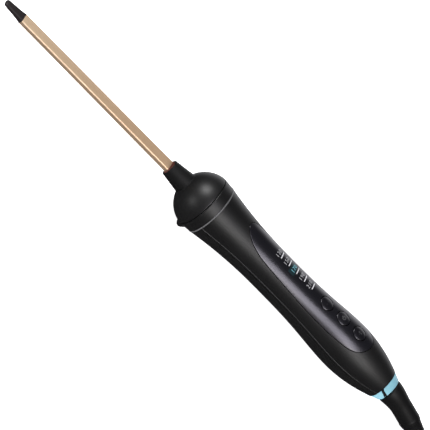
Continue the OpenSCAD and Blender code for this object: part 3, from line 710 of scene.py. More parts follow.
def facing_euler(forward, side):
    """Turns a lamp to shine along forward, its width along side."""
    back = -forward.normalized()
    across = (side - back * side.dot(back)).normalized()
    return Matrix((across, back.cross(across), back)).transposed().to_euler()


class WAND_OT_studio(bpy.types.Operator):
    """Sets the camera, the pale floor and the soft lights"""
    bl_idname = "wand.studio"
    bl_label = "Studio"

    def execute(self, context):
        s = context.scene.wand_studio
        right, up, back, target = make_camera()

        def in_view(r, u, b, far):
            """A place given by the view's own right, up and back."""
            return target + (right * r + up * u + back * b).normalized() * far

        turn = laid().to_3x3()

        def by_handle(x, y, z, far=1.1):
            """A place given by the handle's own axes."""
            return target + (turn @ Vector((x, y, z))) * far

        softbox("key_softbox", in_view(0.08, 0.77, 0.63, 1.0), target, 0.36, 0.36, s.key)
        softbox("fill_softbox", in_view(-0.69, 0.15, 0.706, 1.1), target, 0.24, 0.2, s.fill)
        over = softbox("overhead_softbox", by_handle(0.27, -0.43, 0.861), target, 0.3, 0.5, s.overhead,
                       (0.94, 0.92, 1.0))
        over.rotation_euler = facing_euler(target - over.location, turn @ Vector((1, 0, 0)))
        softbox("rear_softbox", by_handle(0.53, -0.57, 0.63), target, 0.45, 0.45, s.rear, (1.0, 0.975, 0.95))
        self.air(context)
        self.floor(s)
        return {"FINISHED"}

    def air(self, context):
        """Dim air, bright only behind and below the wand, where its far edges mirror it."""
        world = bpy.data.worlds.new("studio_air")
        context.scene.world = world
        world.use_nodes = True
        air = Nodes(world.node_tree)
        ground = air.node("ShaderNodeBackground", outlet=None)
        output = air.node("ShaderNodeOutputWorld", outlet=None)
        air.links.new(ground.outputs[0], output.inputs["Surface"])
        way = air.node("ShaderNodeTexCoord", outlet="Generated")
        behind = air.node("ShaderNodeVectorMath", {"operation": "DOT_PRODUCT"},
                          {0: way, 1: (0.234, 0.94, -0.251)}, outlet="Value")
        air.feed(ground.inputs["Color"], (0.97, 0.97, 1.0))
        air.feed(ground.inputs["Strength"], 0.03 + behind.above(0.72, 1.0) * 1.3)
        context.scene.view_settings.view_transform = "Standard"
        context.scene.view_settings.look = "None"

    def floor(self, s):
        """A pale floor that doesn't show in the wand's gloss."""
        p = Paint("studio_floor")
        tone = p.noise(3.0, 1.0)
        pale = s.floor
        p.finish(base_color=p.blend(tone, (pale, pale, pale), (pale, pale, pale * 1.005)), roughness=0.9,
                 emission_color=(1, 1, 1), emission_strength=1.0, specular_ior_level=0.0)
        mesh = bpy.data.meshes.new("studio_floor")
        half = 6.0
        corners = [(-half, -half, 0), (half, -half, 0), (half, half, 0), (-half, half, 0)]
        mesh.from_pydata(corners, [], [(0, 1, 2, 3)])
        mesh.materials.append(p.material)
        floor = bpy.data.objects.new("studio_floor", mesh)
        floor.location.z = -0.0003
        floor.visible_glossy = False
        bpy.context.collection.objects.link(floor)


# ---------------------------------------------------------------- cord, relief, tie and plug

def relief_line(steps):
    """Centre line of the strain relief: square on the swivel, drooping to the table."""
    h = sizes()[1]
    lay = laid()
    tail = end_x() + h.ring_len
    a, b = lay @ Vector((tail + 0.6 * MM, 0, 0)), lay @ Vector((tail + 13.6 * MM, 0, 0))
    low, end = Vector((0.209, 0, 0.006)), Vector((0.222, 0, 0.0042))
    out = []
    for t in spaced(0.0, 1.0, steps):
        s = 1 - t
        out.append(a * s ** 3 + b * 3 * s * s * t + low * 3 * s * t * t + end * t ** 3)
    return out


def hank_route():
    """The cord's centre line: run, four loops of the hank, tail."""
    c = sizes()[3]
    d = c.cord_d
    near, far = c.hank_x, c.hank_x + c.hank_run
    inner, outer = c.hank_fold, c.hank_fold + d
    middle = c.hank_fold + d / 2
    low, high, top = d / 2, 1.5 * d, 2.5 * d
    route = []

    def run(x0, x1, y, z0, z1):
        for t in spaced(0.0, 1.0, 30)[:-1]:
            route.append(Vector((x0 + (x1 - x0) * t, y, z0 + (z1 - z0) * t)))

    def fold_far(r, z0, z1):
        for t in spaced(0.0, 1.0, 28)[:-1]:
            z = z0 + (z1 - z0) * t
            route.append(Vector((far + r * math.sin(math.pi * t), r * math.cos(math.pi * t), z)))

    def fold_near(r, mid, rise):
        for t in spaced(0.0, 1.0, 28)[:-1]:
            route.append(Vector((near - r * math.sin(math.pi * t), mid - r * math.cos(math.pi * t), rise(t))))

    run(near, far, outer, low, low)
    fold_far(outer, low, low)
    run(far, near, -outer, low, low)
    fold_near(middle, -d / 2, lambda t: low)
    run(near, far, inner, low, low)
    fold_far(inner, low, low)
    run(far, near, -inner, low, low)
    fold_near(inner, 0.0, lambda t: low + d * math.sin(math.pi * t / 2))
    run(near, far, inner, high, high)
    fold_far(inner, high, high)
    run(far, near, -inner, high, high)
    fold_near(middle, d / 2, lambda t: high + 0.37 * d * math.sin(math.pi * t) ** 2)
    run(near, far, outer, high, high)
    fold_far(outer, high, high)
    run(far, near, -outer, high, high)
    fold_near(inner + 0.75 * d, -0.25 * d, lambda t: high + d * math.sin(math.pi * t / 2)
              + 0.3 * d * math.sin(math.pi * t) ** 2)
    run(near, far, middle, top, top)
    fold_far(middle, top, top)
    route.append(Vector((far, -middle, top)))
    return route


def bend_through(points, steps):
    """A smooth line through points."""
    out, last = [], len(points) - 1
    for i in range(last):
        a, b, c, d = (points[max(0, i - 1)], points[i], points[i + 1], points[min(last, i + 2)])
        for k in range(steps):
            t = k / steps
            out.append(0.5 * (2 * b + (c - a) * t + (2 * a - 5 * b + 4 * c - d) * t * t
                              + (3 * b - a - 3 * c + d) * t * t * t))
    return out + [points[last]]


def cord_route():
    """The whole centre line: the run on the table, the hank and the tail to the plug."""
    run = ((219, 0, 4.62), (222, 0, 4.2), (230, 0.6, 3.3), (238, 3.4, 3), (246, 8, 3), (254, 13.4, 3),
           (262, 18.4, 3), (270, 22.2, 3), (278, 24, 3))
    tail = ((398, -21, 15), (390, -19.8, 15.6), (382, -16.4, 16.6), (374, -11.4, 17.8), (366, -6, 18.6),
            (358, -2, 18.9), (350, 0, 18.9), (344, 0, 18.85))
    run, tail = ([Vector(p) * MM for p in line] for line in (run, tail))
    return bend_through(run, 5)[:-1] + hank_route()[:-1] + bend_through(tail, 5)


class WAND_OT_strain_relief(bpy.types.Operator):
    """Makes the tapered boot that leads the cord down to the table"""
    bl_idname = "wand.strain_relief"
    bl_label = "Strain relief"

    def execute(self, context):
        c = sizes()[3]
        steps = 110
        line = relief_line(steps)
        radii = []
        for t in spaced(0.0, 1.0, steps):
            near, far = min(1.0, t / 0.35), max(0.0, (t - 0.6) / 0.4)
            r = (c.relief_root_r - (c.relief_root_r - c.relief_mid_r) * near * near * (3 - 2 * near)
                 - (c.relief_mid_r - c.relief_end_r) * far)
            collar, groove = 0.585 < t < 0.67, 0.74 < t < 0.76 or 0.81 < t < 0.83 or 0.88 < t < 0.90
            from_end = min(t, 1 - t)
            r += 0.15 * MM if collar else 0.0
            r -= (0.22 if groove else 0.0) * MM
            r -= (0.45 if from_end < 0.008 else 0.12 if from_end < 0.016 else 0.0) * MM
            radii.append(r)
        inward = (line[-2] - line[-1]).normalized() * 1.5 * MM
        rings = tube(line, radii, 40)
        rings.append(tube([line[-2], line[-1]], [c.cord_d / 2 + 0.1 * MM] * 2, 40)[1])
        rings.append([v + inward for v in rings[-1]])
        rubber = paint(soft_rubber, "boot_rubber", paints().cord, rough=0.5)
        add_piece("strain_relief_boot", *skin(rings), rubber, "cord_end", "lead", ("strain_relief",),
                  place=Matrix.Identity(4), crease=50)
        return {"FINISHED"}


class WAND_OT_mains_cord(bpy.types.Operator):
    """Makes the cord: its run on the table, the hank and the tail to the plug"""
    bl_idname = "wand.mains_cord"
    bl_label = "Mains cord"

    def execute(self, context):
        c = sizes()[3]
        route = cord_route()
        curve = bpy.data.curves.new("mains_cord", "CURVE")
        curve.dimensions = "3D"
        curve.bevel_depth, curve.bevel_resolution, curve.use_fill_caps = c.cord_d / 2, 5, True
        spline = curve.splines.new("POLY")
        spline.points.add(len(route) - 1)
        for point, at in zip(spline.points, route):
            point.co = (*at, 1.0)
        curve.materials.append(paint(soft_rubber, "cord_sheath", paints().cord, rough=0.47))
        cord = bpy.data.objects.new("mains_cord", curve)
        bpy.context.collection.objects.link(cord)
        spline.use_smooth = True
        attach(cord, "cord_end")
        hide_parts("cord_run", "cord_hank", "cord_tail")
        return {"FINISHED"}


class WAND_OT_hank_tie(bpy.types.Operator):
    """Makes the woven strap round the hank"""
    bl_idname = "wand.hank_tie"
    bl_label = "Hank tie"

    def execute(self, context):
        c = sizes()[3]
        d = c.cord_d
        side = c.hank_fold + 1.5 * d + 0.35 * MM
        path = [(-side, 0.6 * MM), (-side, 2 * d + 0.4 * MM), (-14 * MM, 3 * d + 3.3 * MM),
                (-4 * MM, 3 * d + 4.7 * MM), (side - 3 * MM, 3 * d + 0.3 * MM), (side, 2 * d),
                (side, 0.6 * MM)]
        outline = rounded([(y, z, 2.4 * MM) for y, z in path], 6)
        rings = []
        count = len(outline)
        for x, thin in ((-0.5, 0.35), (-0.46, 0.75), (-0.2, 0.8), (0.2, 0.8), (0.46, 0.75), (0.5, 0.35)):
            ring = []
            for grow in (0.0, thin * MM):
                row = []
                for i, p in enumerate(outline):
                    way = (outline[(i + 1) % count] - outline[i - 1]).normalized()
                    out = Vector((way.y, -way.x))
                    if out.dot(p - Vector((0, d * 1.4))) < 0:
                        out = -out
                    q = p + out * grow
                    row.append((c.tie_x + x * c.tie_w, q.x, max(0.05 * MM, q.y)))
                ring += row if grow == 0.0 else row[::-1]
            rings.append(ring)
        add_piece("hank_tie", *self.band(rings, count), paint(woven_tie), "cord_end", "tie", ("cord_tie",),
                  place=Matrix.Identity(4), crease=60)
        return {"FINISHED"}

    def band(self, rings, count):
        """A closed strap from rings that hold its inner and outer rows."""
        verts = [v for ring in rings for v in ring]
        n, faces = 2 * count, []
        for i in range(len(rings) - 1):
            for k in range(count):
                m = (k + 1) % count
                a, b = i * n, (i + 1) * n
                faces.append((a + k, a + m, b + m, b + k))
                p, q = n - 1 - k, n - 1 - m
                faces.append((a + p, a + q, b + q, b + p))
        for base in (0, (len(rings) - 1) * n):
            for k in range(count):
                m = (k + 1) % count
                faces.append((base + k, base + m, base + n - 1 - m, base + n - 1 - k))
        return verts, faces


class WAND_OT_plug(bpy.types.Operator):
    """Makes the flat two-pin plug: its waisted body and ribbed tail"""
    bl_idname = "wand.plug"
    bl_label = "Mains plug"

    def execute(self, context):
        c = sizes()[3]
        z = 2 * c.cord_d + 6.85 * MM
        rows = ((0.0, 31.6, 10.4, 4.0), (0.5, 33.6, 12.0, 4.6), (1.6, 34.9, 13.4, 5.0), (6, 35.3, 13.7, 5.2),
                (11, 34.6, 13.7, 5.4), (16, 31.0, 13.3, 5.4), (21, 26.6, 12.7, 5.3), (25, 23.2, 12.2, 5.2),
                (29, 20.4, 11.7, 5.1), (33, 18.1, 11.2, 5.0), (35.2, 16.6, 10.8, 4.9), (36, 14.4, 9.8, 4.6))
        rings = []
        for x, w, t, r in rows:
            ring = bar_ring(c.plug_x + x * MM, w * MM, t * MM, r * MM, 9)
            rings.append([(q[0], q[1], q[2] + z) for q in ring])
        tail = []
        for i, x in enumerate(spaced(35.0, 50.0, 30)):
            share = (x - 35) / 15
            r = 5.2 - 1.4 * share - (0.45 if i % 5 in (3, 4) and x < 48 else 0.0)
            tail.append([(c.plug_x + x * MM, r * MM * ca, z + r * MM * sa) for ca, sa in around(32)])
        plastic = paint(moulded, "plug_plastic", paints().cord, rough=0.42, grain=1500.0)
        add_piece("plug_moulding", *joined((skin(rings), skin(tail))), plastic, "cord_end", "plug",
                  ("plug_body",), place=Matrix.Identity(4), crease=40)
        return {"FINISHED"}


# ---------------------------------------------------------------- tip, barrel, neck and dome

class WAND_OT_cool_tip(bpy.types.Operator):
    """Makes the cool tip that is held while hair is wound"""
    bl_idname = "wand.cool_tip"
    bl_label = "Cool tip"

    def execute(self, context):
        b = sizes()[0]
        f = paints()
        w, t = b.tip_w, b.tip_t
        rows = [(0.0, 0.24, 0.18), (0.12, 0.36, 0.32), (0.4, 0.50, 0.46), (0.85, 0.60, 0.57),
                (1.5, 0.655, 0.64), (3.0, 0.69, 0.70), (6.0, 0.74, 0.755), (10.1, 0.80, 0.83),
                (12.6, 0.86, 0.89), (14.4, 0.93, 0.95), (15.2, 0.985, 0.985), (15.55, 1.0, 1.0),
                (15.7, 0.985, 0.97)]
        full = rows[-1][0]
        rings = [bar_ring(b.tip_len * x / full, w * sw, t * st, min(1.15 * MM, t * st * 0.42))
                 for x, sw, st in rows]
        rings.append(bar_ring(b.tip_len, w * 0.8, t * 0.7, 0.8 * MM))
        rings.append(bar_ring(b.tip_len + 1.5 * MM, w * 0.8, t * 0.7, 0.8 * MM))
        add_piece("tip_cap", *skin(rings), paint(moulded, "tip_plastic", f.tip, rough=0.42), "handle", "tip",
                  ("cool_tip",), crease=50)
        return {"FINISHED"}


class WAND_OT_barrel(bpy.types.Operator):
    """Makes the coated rectangular barrel"""
    bl_idname = "wand.barrel"
    bl_label = "Barrel"

    def execute(self, context):
        b = sizes()[0]
        soft_end = [(b.tip_len + x * MM, less * MM) for x, less in ((0.05, 0.5), (0.1, 0.22), (0.3, 0.06))]
        rings = []
        for x, less in soft_end + [(x, 0.0) for x in spaced(b.tip_len + 0.55 * MM, neck_x() + 6 * MM, 40)]:
            share = barrel_share(x)
            rings.append(bar_ring(x, b.barrel_w * share - less, b.barrel_t * share - less, b.corner))
        add_piece("coated_barrel", *skin(rings), paint(coated_barrel), "handle", "barrel", ("barrel_tube",),
                  crease=50)
        return {"FINISHED"}


class WAND_OT_neck(bpy.types.Operator):
    """Makes the neck cone and the silicone seal in its mouth"""
    bl_idname = "wand.neck"
    bl_label = "Neck and seal"

    def execute(self, context):
        b = sizes()[0]
        f = paints()
        section = ((4.0, 0.02), (-0.35, 0.02), (-0.5, 0.12), (-0.62, 0.3), (-0.5, 0.45), (-0.3, 0.5),
                   (4.0, 0.5))
        seal = []
        for x, out in ((neck_x() + x * MM, out * MM) for x, out in section):
            w, t = b.barrel_w * barrel_share(x), b.barrel_t * barrel_share(x)
            seal.append(bar_ring(x, w + 2 * out, t + 2 * out, b.corner + out, 5))
        verts, faces = skin(seal, close=False)
        n = len(seal[0])
        last = len(verts) - n
        faces += [(k, (k + 1) % n, last + (k + 1) % n, last + k) for k in range(n)]
        silicone = paint(soft_rubber, "seal_silicone", f.seal, rough=0.4)
        add_piece("mouth_seal", verts, faces, silicone, "handle", "seal", ("neck_seal",), crease=60)

        dome_x = neck_x() + b.neck_len
        root_x = dome_x + 3 * MM
        neck = rounded([(neck_x() + 2.4 * MM, 2.0 * MM, 0), (neck_x() + 0.5 * MM, 4.9 * MM, 0.4 * MM),
                        (neck_x(), 5.15 * MM, 0.25 * MM), (neck_x(), b.mouth_r, 0.55 * MM),
                        (dome_x, b.root_r, 0), (root_x, b.root_r, 0), (root_x, 2.0 * MM, 0)], 6)
        matt = paint(moulded, "neck_plastic", tinted(f.shell, 0.8), rough=0.55, specular=0.25)
        piece = add_piece("neck_cone", *lathe(neck, 96), matt, "handle", "guard", ("neck_sleeve",), crease=40)
        cut(piece, [skin([bar_ring(x, b.barrel_w + 0.9 * MM, b.barrel_t + 0.9 * MM, b.corner + 0.45 * MM)
                          for x in (neck_x() - 2 * MM, dome_x + 5 * MM)])])
        return {"FINISHED"}


class WAND_OT_dome(bpy.types.Operator):
    """Makes the domed heat guard with its rim"""
    bl_idname = "wand.dome"
    bl_label = "Heat guard"

    def execute(self, context):
        b = sizes()[0]
        dome_x = neck_x() + b.neck_len
        guard = paint(moulded, "guard_plastic", paints().shell, rough=0.43, bite=0.14, specular=0.45)
        mid, r = dome_mid(), b.dome_r
        outline = [(dome_x - 0.2 * MM, b.root_r + 0.02 * MM)]
        start = math.acos(min(1.0, (mid - dome_x - 0.15 * MM) / r))
        stop = math.acos((mid - rim_x() + 0.5 * MM) / r)
        outline += [(mid - r * math.cos(a), r * math.sin(a)) for a in spaced(start, stop, 40)]
        rim_r = math.sqrt(r * r - b.dome_set ** 2)
        outline += [(rim_x() - 0.18 * MM, rim_r - 0.09 * MM), (rim_x(), rim_r - 0.4 * MM),
                    (rim_x(), rim_r - 2.6 * MM), (rim_x() - 4 * MM, rim_r - 3.4 * MM),
                    (dome_x + 3 * MM, 10 * MM), (dome_x + 3 * MM, b.root_r + 0.02 * MM)]
        add_piece("dome", *lathe(outline, 160), guard, "handle", "guard", ("dome_guard",), crease=40)
        lip = rounded([(rim_x() - 1.2 * MM, rim_r - 3.0 * MM, 0), (rim_x() - 1.2 * MM, rim_r - 1.7 * MM, 0),
                       (band_x() + 4 * MM, rim_r - 1.9 * MM, 0), (band_x() + 4 * MM, rim_r - 3.1 * MM, 0)])
        add_piece("dome_spigot", *lathe(lip, 96), guard, "handle", "guard", crease=40)
        return {"FINISHED"}


# ---------------------------------------------------------------- handle shells, trim, foot and ring

def shell_stations():
    """(station, inset of the outer skin) along the handle, with the soft edges and the trim groove."""
    h, p = sizes()[1:3]
    t, half = trim_x(), h.trim_w / 2 + 0.05 * MM
    front = [(band_x() + x * MM, inset) for x, inset in ((0.0, 0.55), (0.08, 0.22), (0.25, 0.06), (0.5, 0.0))]
    front += [(x, 0.0) for x in spaced(band_x() + 1 * MM, t - half - 0.5 * MM, 8)]
    front += [(t - half - 0.22 * MM, 0.02), (t - half - 0.05 * MM, 0.1), (t - half, 0.28), (t - half, 1.1),
              (t + half, 1.1), (t + half, 0.3), (t + half + 0.06 * MM, 0.1), (t + half + 0.25 * MM, 0.02)]
    a = panel_x() - p.panel_gap
    z = panel_x() + p.panel_len + p.panel_gap
    middle = [(x, 0.0) for x in spaced(t + half + 0.6 * MM, a, 14)[:-1]]
    middle += [(x, 0.0) for x in spaced(a, z, 96, ease=True)]
    end = end_x()
    tail = [(x, 0.0) for x in spaced(z, end - 0.5 * MM, 20)[1:]]
    tail += [(end - 0.22 * MM, 0.05), (end - 0.06 * MM, 0.18), (end, 0.5)]
    return [(x, inset * MM) for x, inset in front + middle + tail]


def sunk(deep, inset):
    """How far a shell's point lies under its form: beads stand on the skin, the inside keeps the wall."""
    if deep > 2:
        return sizes()[1].wall
    return max(deep * MM, inset) if deep >= 0 else inset + deep * MM


class WAND_OT_shells(bpy.types.Operator):
    """Makes the two handle shells, with the panel's seat, the seam and the screw wells"""
    bl_idname = "wand.shells"
    bl_label = "Handle shells"

    def execute(self, context):
        f = paints()
        shell = paint(moulded, "shell_plastic", f.shell, rough=0.43, bite=0.16, specular=0.42)
        over = add_piece("shell_top", *self.top_shell(), shell, "handle", "shell", ("upper_shell",),
                         crease=32)
        settle(over, handle_facing)
        under = add_piece("shell_base", *self.base_shell(), shell, "handle", "shell", ("lower_shell",),
                          crease=32)
        screw_x, screw_y, well_r = trim_x() + 12.5 * MM, 8.5 * MM, 2.2 * MM
        depth = math.sqrt(handle_r(screw_x) ** 2 - screw_y ** 2)
        wells = []
        for side in (-1, 1):
            wells.append(skin([[(screw_x + well_r * ca, side * screw_y + well_r * sa, -z)
                                for ca, sa in around(40)]
                               for z in (9.7 * MM, depth - 0.4 * MM, depth + 3 * MM)]))
        cut(under, wells, crease=32)
        settle(under, handle_facing)
        return {"FINISHED"}

    def top_shell(self):
        """The upper shell with the panel's seat: outer skin, gap wall, ledge and inner skin."""
        h, p = sizes()[1:3]
        stations = shell_stations()
        lo, hi = panel_x() - p.panel_gap - 1e-9, panel_x() + p.panel_len + p.panel_gap + 1e-9
        verts, faces = [], []
        for side in (-1, 1):
            base, columns, outer = len(verts), 0, 0
            opened, ledged = [], []
            for x, inset in stations:
                r = handle_r(x)
                seamed = x > trim_x()
                low = math.asin(h.seam / 2 / r) if seamed else 0.0
                inside = lo <= x <= hi
                top = math.acos(min(1.0, panel_half(x, p.panel_gap) / r)) if inside else math.pi / 2
                seat = math.acos(min(1.0, panel_half(x, -p.ledge) / r)) if inside else math.pi / 2
                lip, bead = 0.26 * MM / r, 0.12 * MM / r
                soft = 1.0 if seamed else 0.0
                row = [(low, 1.2), (low, 0.35 * soft), (low + 0.3 * lip, 0.12 * soft),
                       (low + 1.3 * lip, 0.02 * soft), (low + 2.6 * lip, 0.0)]
                first, last = low + 2.6 * lip, top - (2.4 * lip if inside else 0.0)
                line = low + 1.35 * MM / r
                row += [(a, 0.0) for a in spaced(first, line - 0.3 * MM / r, 4)[1:]]
                row += [(line - bead, -0.2 * soft), (line + bead, -0.2 * soft)]
                row += [(a, 0.0) for a in spaced(line + 0.3 * MM / r, last, 19)]
                outer = len(row)
                gap = [(top - 1.1 * lip, 0.02), (top - 0.3 * lip, 0.1), (top, 0.3), (top, 1.6), (seat, 1.6)]
                row += gap if inside else [(top, 0.0)] * 5
                row += [(seat, 2.4)] + [(a, 2.4) for a in spaced(seat, low, 12)[1:]]
                columns = len(row)
                for a, deep in row:
                    deep = sunk(deep, inset)
                    verts.append((x, side * (r - deep) * math.cos(a), (r - deep) * math.sin(a)))
                opened.append(inside)
                ledged.append(inside and seat < math.pi / 2 - 1e-6)
            # the gap's wall and ledge are there only beside the panel
            for i in range(len(stations) - 1):
                for k in range(columns):
                    m = (k + 1) % columns
                    if outer + 2 <= k < outer + 4 and not (opened[i] and opened[i + 1]):
                        continue
                    if k == outer + 4 and not (ledged[i] or ledged[i + 1]):
                        continue
                    a, b = base + i * columns, base + (i + 1) * columns
                    faces.append((a + k, a + m, b + m, b + k))
            for i in (0, len(stations) - 1):
                faces.append(tuple(base + i * columns + k for k in range(columns)))
        return verts, faces

    def base_shell(self):
        """The lower shell, with the tongue that closes the seam from inside."""
        h = sizes()[1]
        stations = shell_stations()
        verts, faces, columns = [], [], 0
        for x, inset in stations:
            r = handle_r(x)
            soft = 1.0 if x > trim_x() else 0.0
            low = math.asin(h.seam / 2 / r) * soft
            lip = 0.26 * MM / r
            edge = [(low, 1.25), (low, 0.35 * soft), (low + 0.3 * lip, 0.12 * soft),
                    (low + 1.3 * lip, 0.02 * soft), (low + 2.6 * lip, 0.0)]
            line, half = low + 6.4 * MM / r, 0.3 * MM / r
            bead = [(line - 0.12 * MM / r, -0.2 * soft), (line + 0.12 * MM / r, -0.2 * soft)]
            row = [(-a, d) for a, d in edge]
            row += [(-a, 0.0) for a in spaced(low + 2.6 * lip, line - half, 8)[1:]]
            row += [(-a, d) for a, d in bead]
            row += [(-a, 0.0) for a in spaced(line + half, math.pi - line - half, 44)]
            row += [(a - math.pi, d) for a, d in bead[::-1]]
            row += [(-a, 0.0) for a in spaced(math.pi - line + half, math.pi - low - 2.6 * lip, 8)[:-1]]
            row += [(-(math.pi - a), d) for a, d in edge[::-1]]
            tongue = 1.0 * MM / r
            row += [(-math.pi - tongue, 1.25), (-math.pi - tongue, 2.4)]
            row += [(-a, 2.4) for a in spaced(math.pi, 0.0, 30)]
            row += [(tongue, 2.4), (tongue, 1.25)]
            columns = len(row)
            for a, deep in row:
                deep = sunk(deep, inset)
                verts.append((x, (r - deep) * math.cos(a), (r - deep) * math.sin(a)))
        for i in range(len(stations) - 1):
            a, b = i * columns, (i + 1) * columns
            faces += [(a + k, a + (k + 1) % columns, b + (k + 1) % columns, b + k) for k in range(columns)]
        faces += [tuple(range(columns)), tuple(range(len(verts) - columns, len(verts)))]
        return verts, faces


class WAND_OT_trim(bpy.types.Operator):
    """Makes the thin metal ring behind the band"""
    bl_idname = "wand.trim"
    bl_label = "Trim ring"

    def execute(self, context):
        h = sizes()[1]
        t, r = trim_x(), h.front_r
        trim = rounded([(t - h.trim_w / 2, r - 1.05 * MM, 0), (t - h.trim_w / 2, r + 0.13 * MM, 0.22 * MM),
                        (t + h.trim_w / 2, r + 0.13 * MM, 0.22 * MM), (t + h.trim_w / 2, r - 1.05 * MM, 0)])
        metal = paint(moulded, "trim_paint", paints().trim, rough=0.4, grain=3200.0, bite=0.08)
        add_piece("trim_band", *lathe(trim, 160), metal, "handle", "trim", ("trim_ring",), crease=50)
        return {"FINISHED"}


class WAND_OT_foot(bpy.types.Operator):
    """Makes the crescent fin that the wand rests on, sharp at its crest and flat on the table"""
    bl_idname = "wand.foot"
    bl_label = "Rest foot"

    def execute(self, context):
        b, h = sizes()[:2]
        x0 = band_x() + 0.1 * MM
        seat = math.sqrt(b.dome_r ** 2 - b.dome_set ** 2) - 1.2 * MM
        lay = laid()
        up = lay.inverted().to_3x3() @ Vector((0, 0, 1))
        section = ((0.0, 0.0), (0.0, 0.72), (0.12, 0.88), (0.45, 0.97), (0.95, 1.0), (1.35, 0.98), (1.8, 0.9),
                   (2.5, 0.68), (3.2, 0.42), (3.8, 0.16), (3.8, 0.0))
        full = section[-1][0]
        rings = []
        for a in spaced(-math.radians(78), math.radians(78), 84):
            crest = Vector((0, math.sin(a) * h.foot_r, -h.foot_drop - math.cos(a) * h.foot_r))
            root = crest.normalized() * min(seat, crest.length)
            ring = []
            for x, share in section:
                point = root + (crest - root) * share + Vector((x0 + h.foot_t * x / full, 0, 0))
                point += max(0.0, 0.02 * MM - (lay @ point).z) * up
                ring.append(point)
            rings.append(ring)
        guard = paint(moulded, "guard_plastic", paints().shell)
        add_piece("rest_fin", *skin(rings), guard, "handle", "guard", ("rest_foot",), crease=40)
        return {"FINISHED"}


class WAND_OT_end_ring(bpy.types.Operator):
    """Makes the blue ring with its two keyways"""
    bl_idname = "wand.end_ring"
    bl_label = "End ring"

    def execute(self, context):
        h = sizes()[1]
        x0, x1 = end_x() + 0.02 * MM, end_x() + h.ring_len
        outline = rounded([(x0, h.ring_bore_r + 0.05 * MM, 0), (x0, h.end_r - 0.12 * MM, 0.25 * MM),
                           (x1, h.ring_end_r, 0.5 * MM), (x1, h.ring_bore_r + 0.05 * MM, 0.3 * MM)])
        piece = add_piece("blue_ring", *lathe(outline, 128), paint(blue_ring), "handle", "ring",
                          ("end_ring",), crease=40)
        slots, liners = [], []
        for side in (-1, 1):
            rings, liner = [], []
            for x, slant, skin_r in ((x0 - 1 * MM, -0.2, h.end_r), (x1 + 1 * MM, 0.2, h.ring_end_r)):
                turn = Matrix.Rotation(-side * (h.key_angle + slant), 4, "X")

                def oblong(x, half, low, high):
                    corners = ((-half, low), (half, low), (half, high), (-half, high))
                    return [turn @ Vector((x, y, z)) for y, z in corners]

                rings.append(oblong(x, h.key_w / 2, h.ring_end_r - 1.2 * MM, 20 * MM))
                x = min(max(x, x0 + 0.1 * MM), x1 - 0.35 * MM)
                liner.append(oblong(x, h.key_w / 2 + 0.15 * MM, h.ring_end_r - 1.5 * MM, skin_r - 0.4 * MM))
            slots.append(skin(rings))
            liners.append(skin(liner))
        cut(piece, slots, crease=40)
        dark = paint(moulded, "keyway_plastic", tinted(paints().shell, 1.5), rough=0.5)
        for name, liner in zip(("keyway_left", "keyway_right"), liners):
            add_piece(name, *liner, dark, "handle", "ring")
        return {"FINISHED"}


# ---------------------------------------------------------------- panel, marks and buttons

def button_x(i):
    p = sizes()[2]
    return panel_x() + p.button_set + i * p.button_pitch


def bar_x(i):
    p = sizes()[2]
    return panel_x() + p.bar_set + i * p.bar_pitch


class WAND_OT_panel(bpy.types.Operator):
    """Makes the glossy leaf-shaped panel with its three button holes"""
    bl_idname = "wand.panel"
    bl_label = "Control panel"

    def execute(self, context):
        p = sizes()[2]
        gloss = paint(gloss_panel, "panel_gloss", paints().panel)
        panel = add_piece("gloss_panel", *self.leaf(p), gloss, "handle", "panel", ("control_panel",),
                          crease=30)
        hole_r = p.button_d / 2 + p.button_gap
        section = ((0.1, 4.0), (0.1, 0.4), (0.12, 0.16), (0.18, 0.03), (0.3, -0.1), (0.8, -0.8))
        holes = []
        for i in range(3):
            rings = []
            for r, inset in ((hole_r + wider * MM, inset * MM) for wider, inset in section):
                rings.append([on_handle(button_x(i) + r * ca, r * sa, inset) for ca, sa in around(72)])
            holes.append(skin(rings))
        cut(panel, holes, crease=30)
        settle(panel, handle_facing)
        return {"FINISHED"}

    def leaf(self, p):
        """The leaf-shaped panel as a closed solid on the handle's own curve."""
        under = p.panel_t - 0.02 * MM
        rows = []
        for x in spaced(panel_x(), panel_x() + p.panel_len, 110, ease=True):
            half = panel_half(x)
            edge, inner = max(0.0, half - 0.07 * MM), max(0.0, half - 0.3 * MM)
            row = [on_handle(x, -half, under), on_handle(x, -half, 0.25 * MM), on_handle(x, -edge, 0.08 * MM)]
            row += [on_handle(x, t * inner) for t in spaced(-1.0, 1.0, 40)]
            row += [on_handle(x, edge, 0.08 * MM), on_handle(x, half, 0.25 * MM), on_handle(x, half, under)]
            row += [on_handle(x, half * t, under) for t in spaced(1.0, -1.0, 12)[1:-1]]
            rows.append(row)
        return skin(rows, close=False)


def strip(x0, x1, y0, y1, lift, steps=12):
    """A thin printed strip across the handle, from x0 to x1 and y0 to y1."""
    rings = []
    for y in spaced(y0, y1, steps):
        rings.append([on_handle(x0, y, -lift), on_handle(x1, y, -lift), on_handle(x1, y, 0.1 * MM),
                      on_handle(x0, y, 0.1 * MM)])
    return skin(rings)


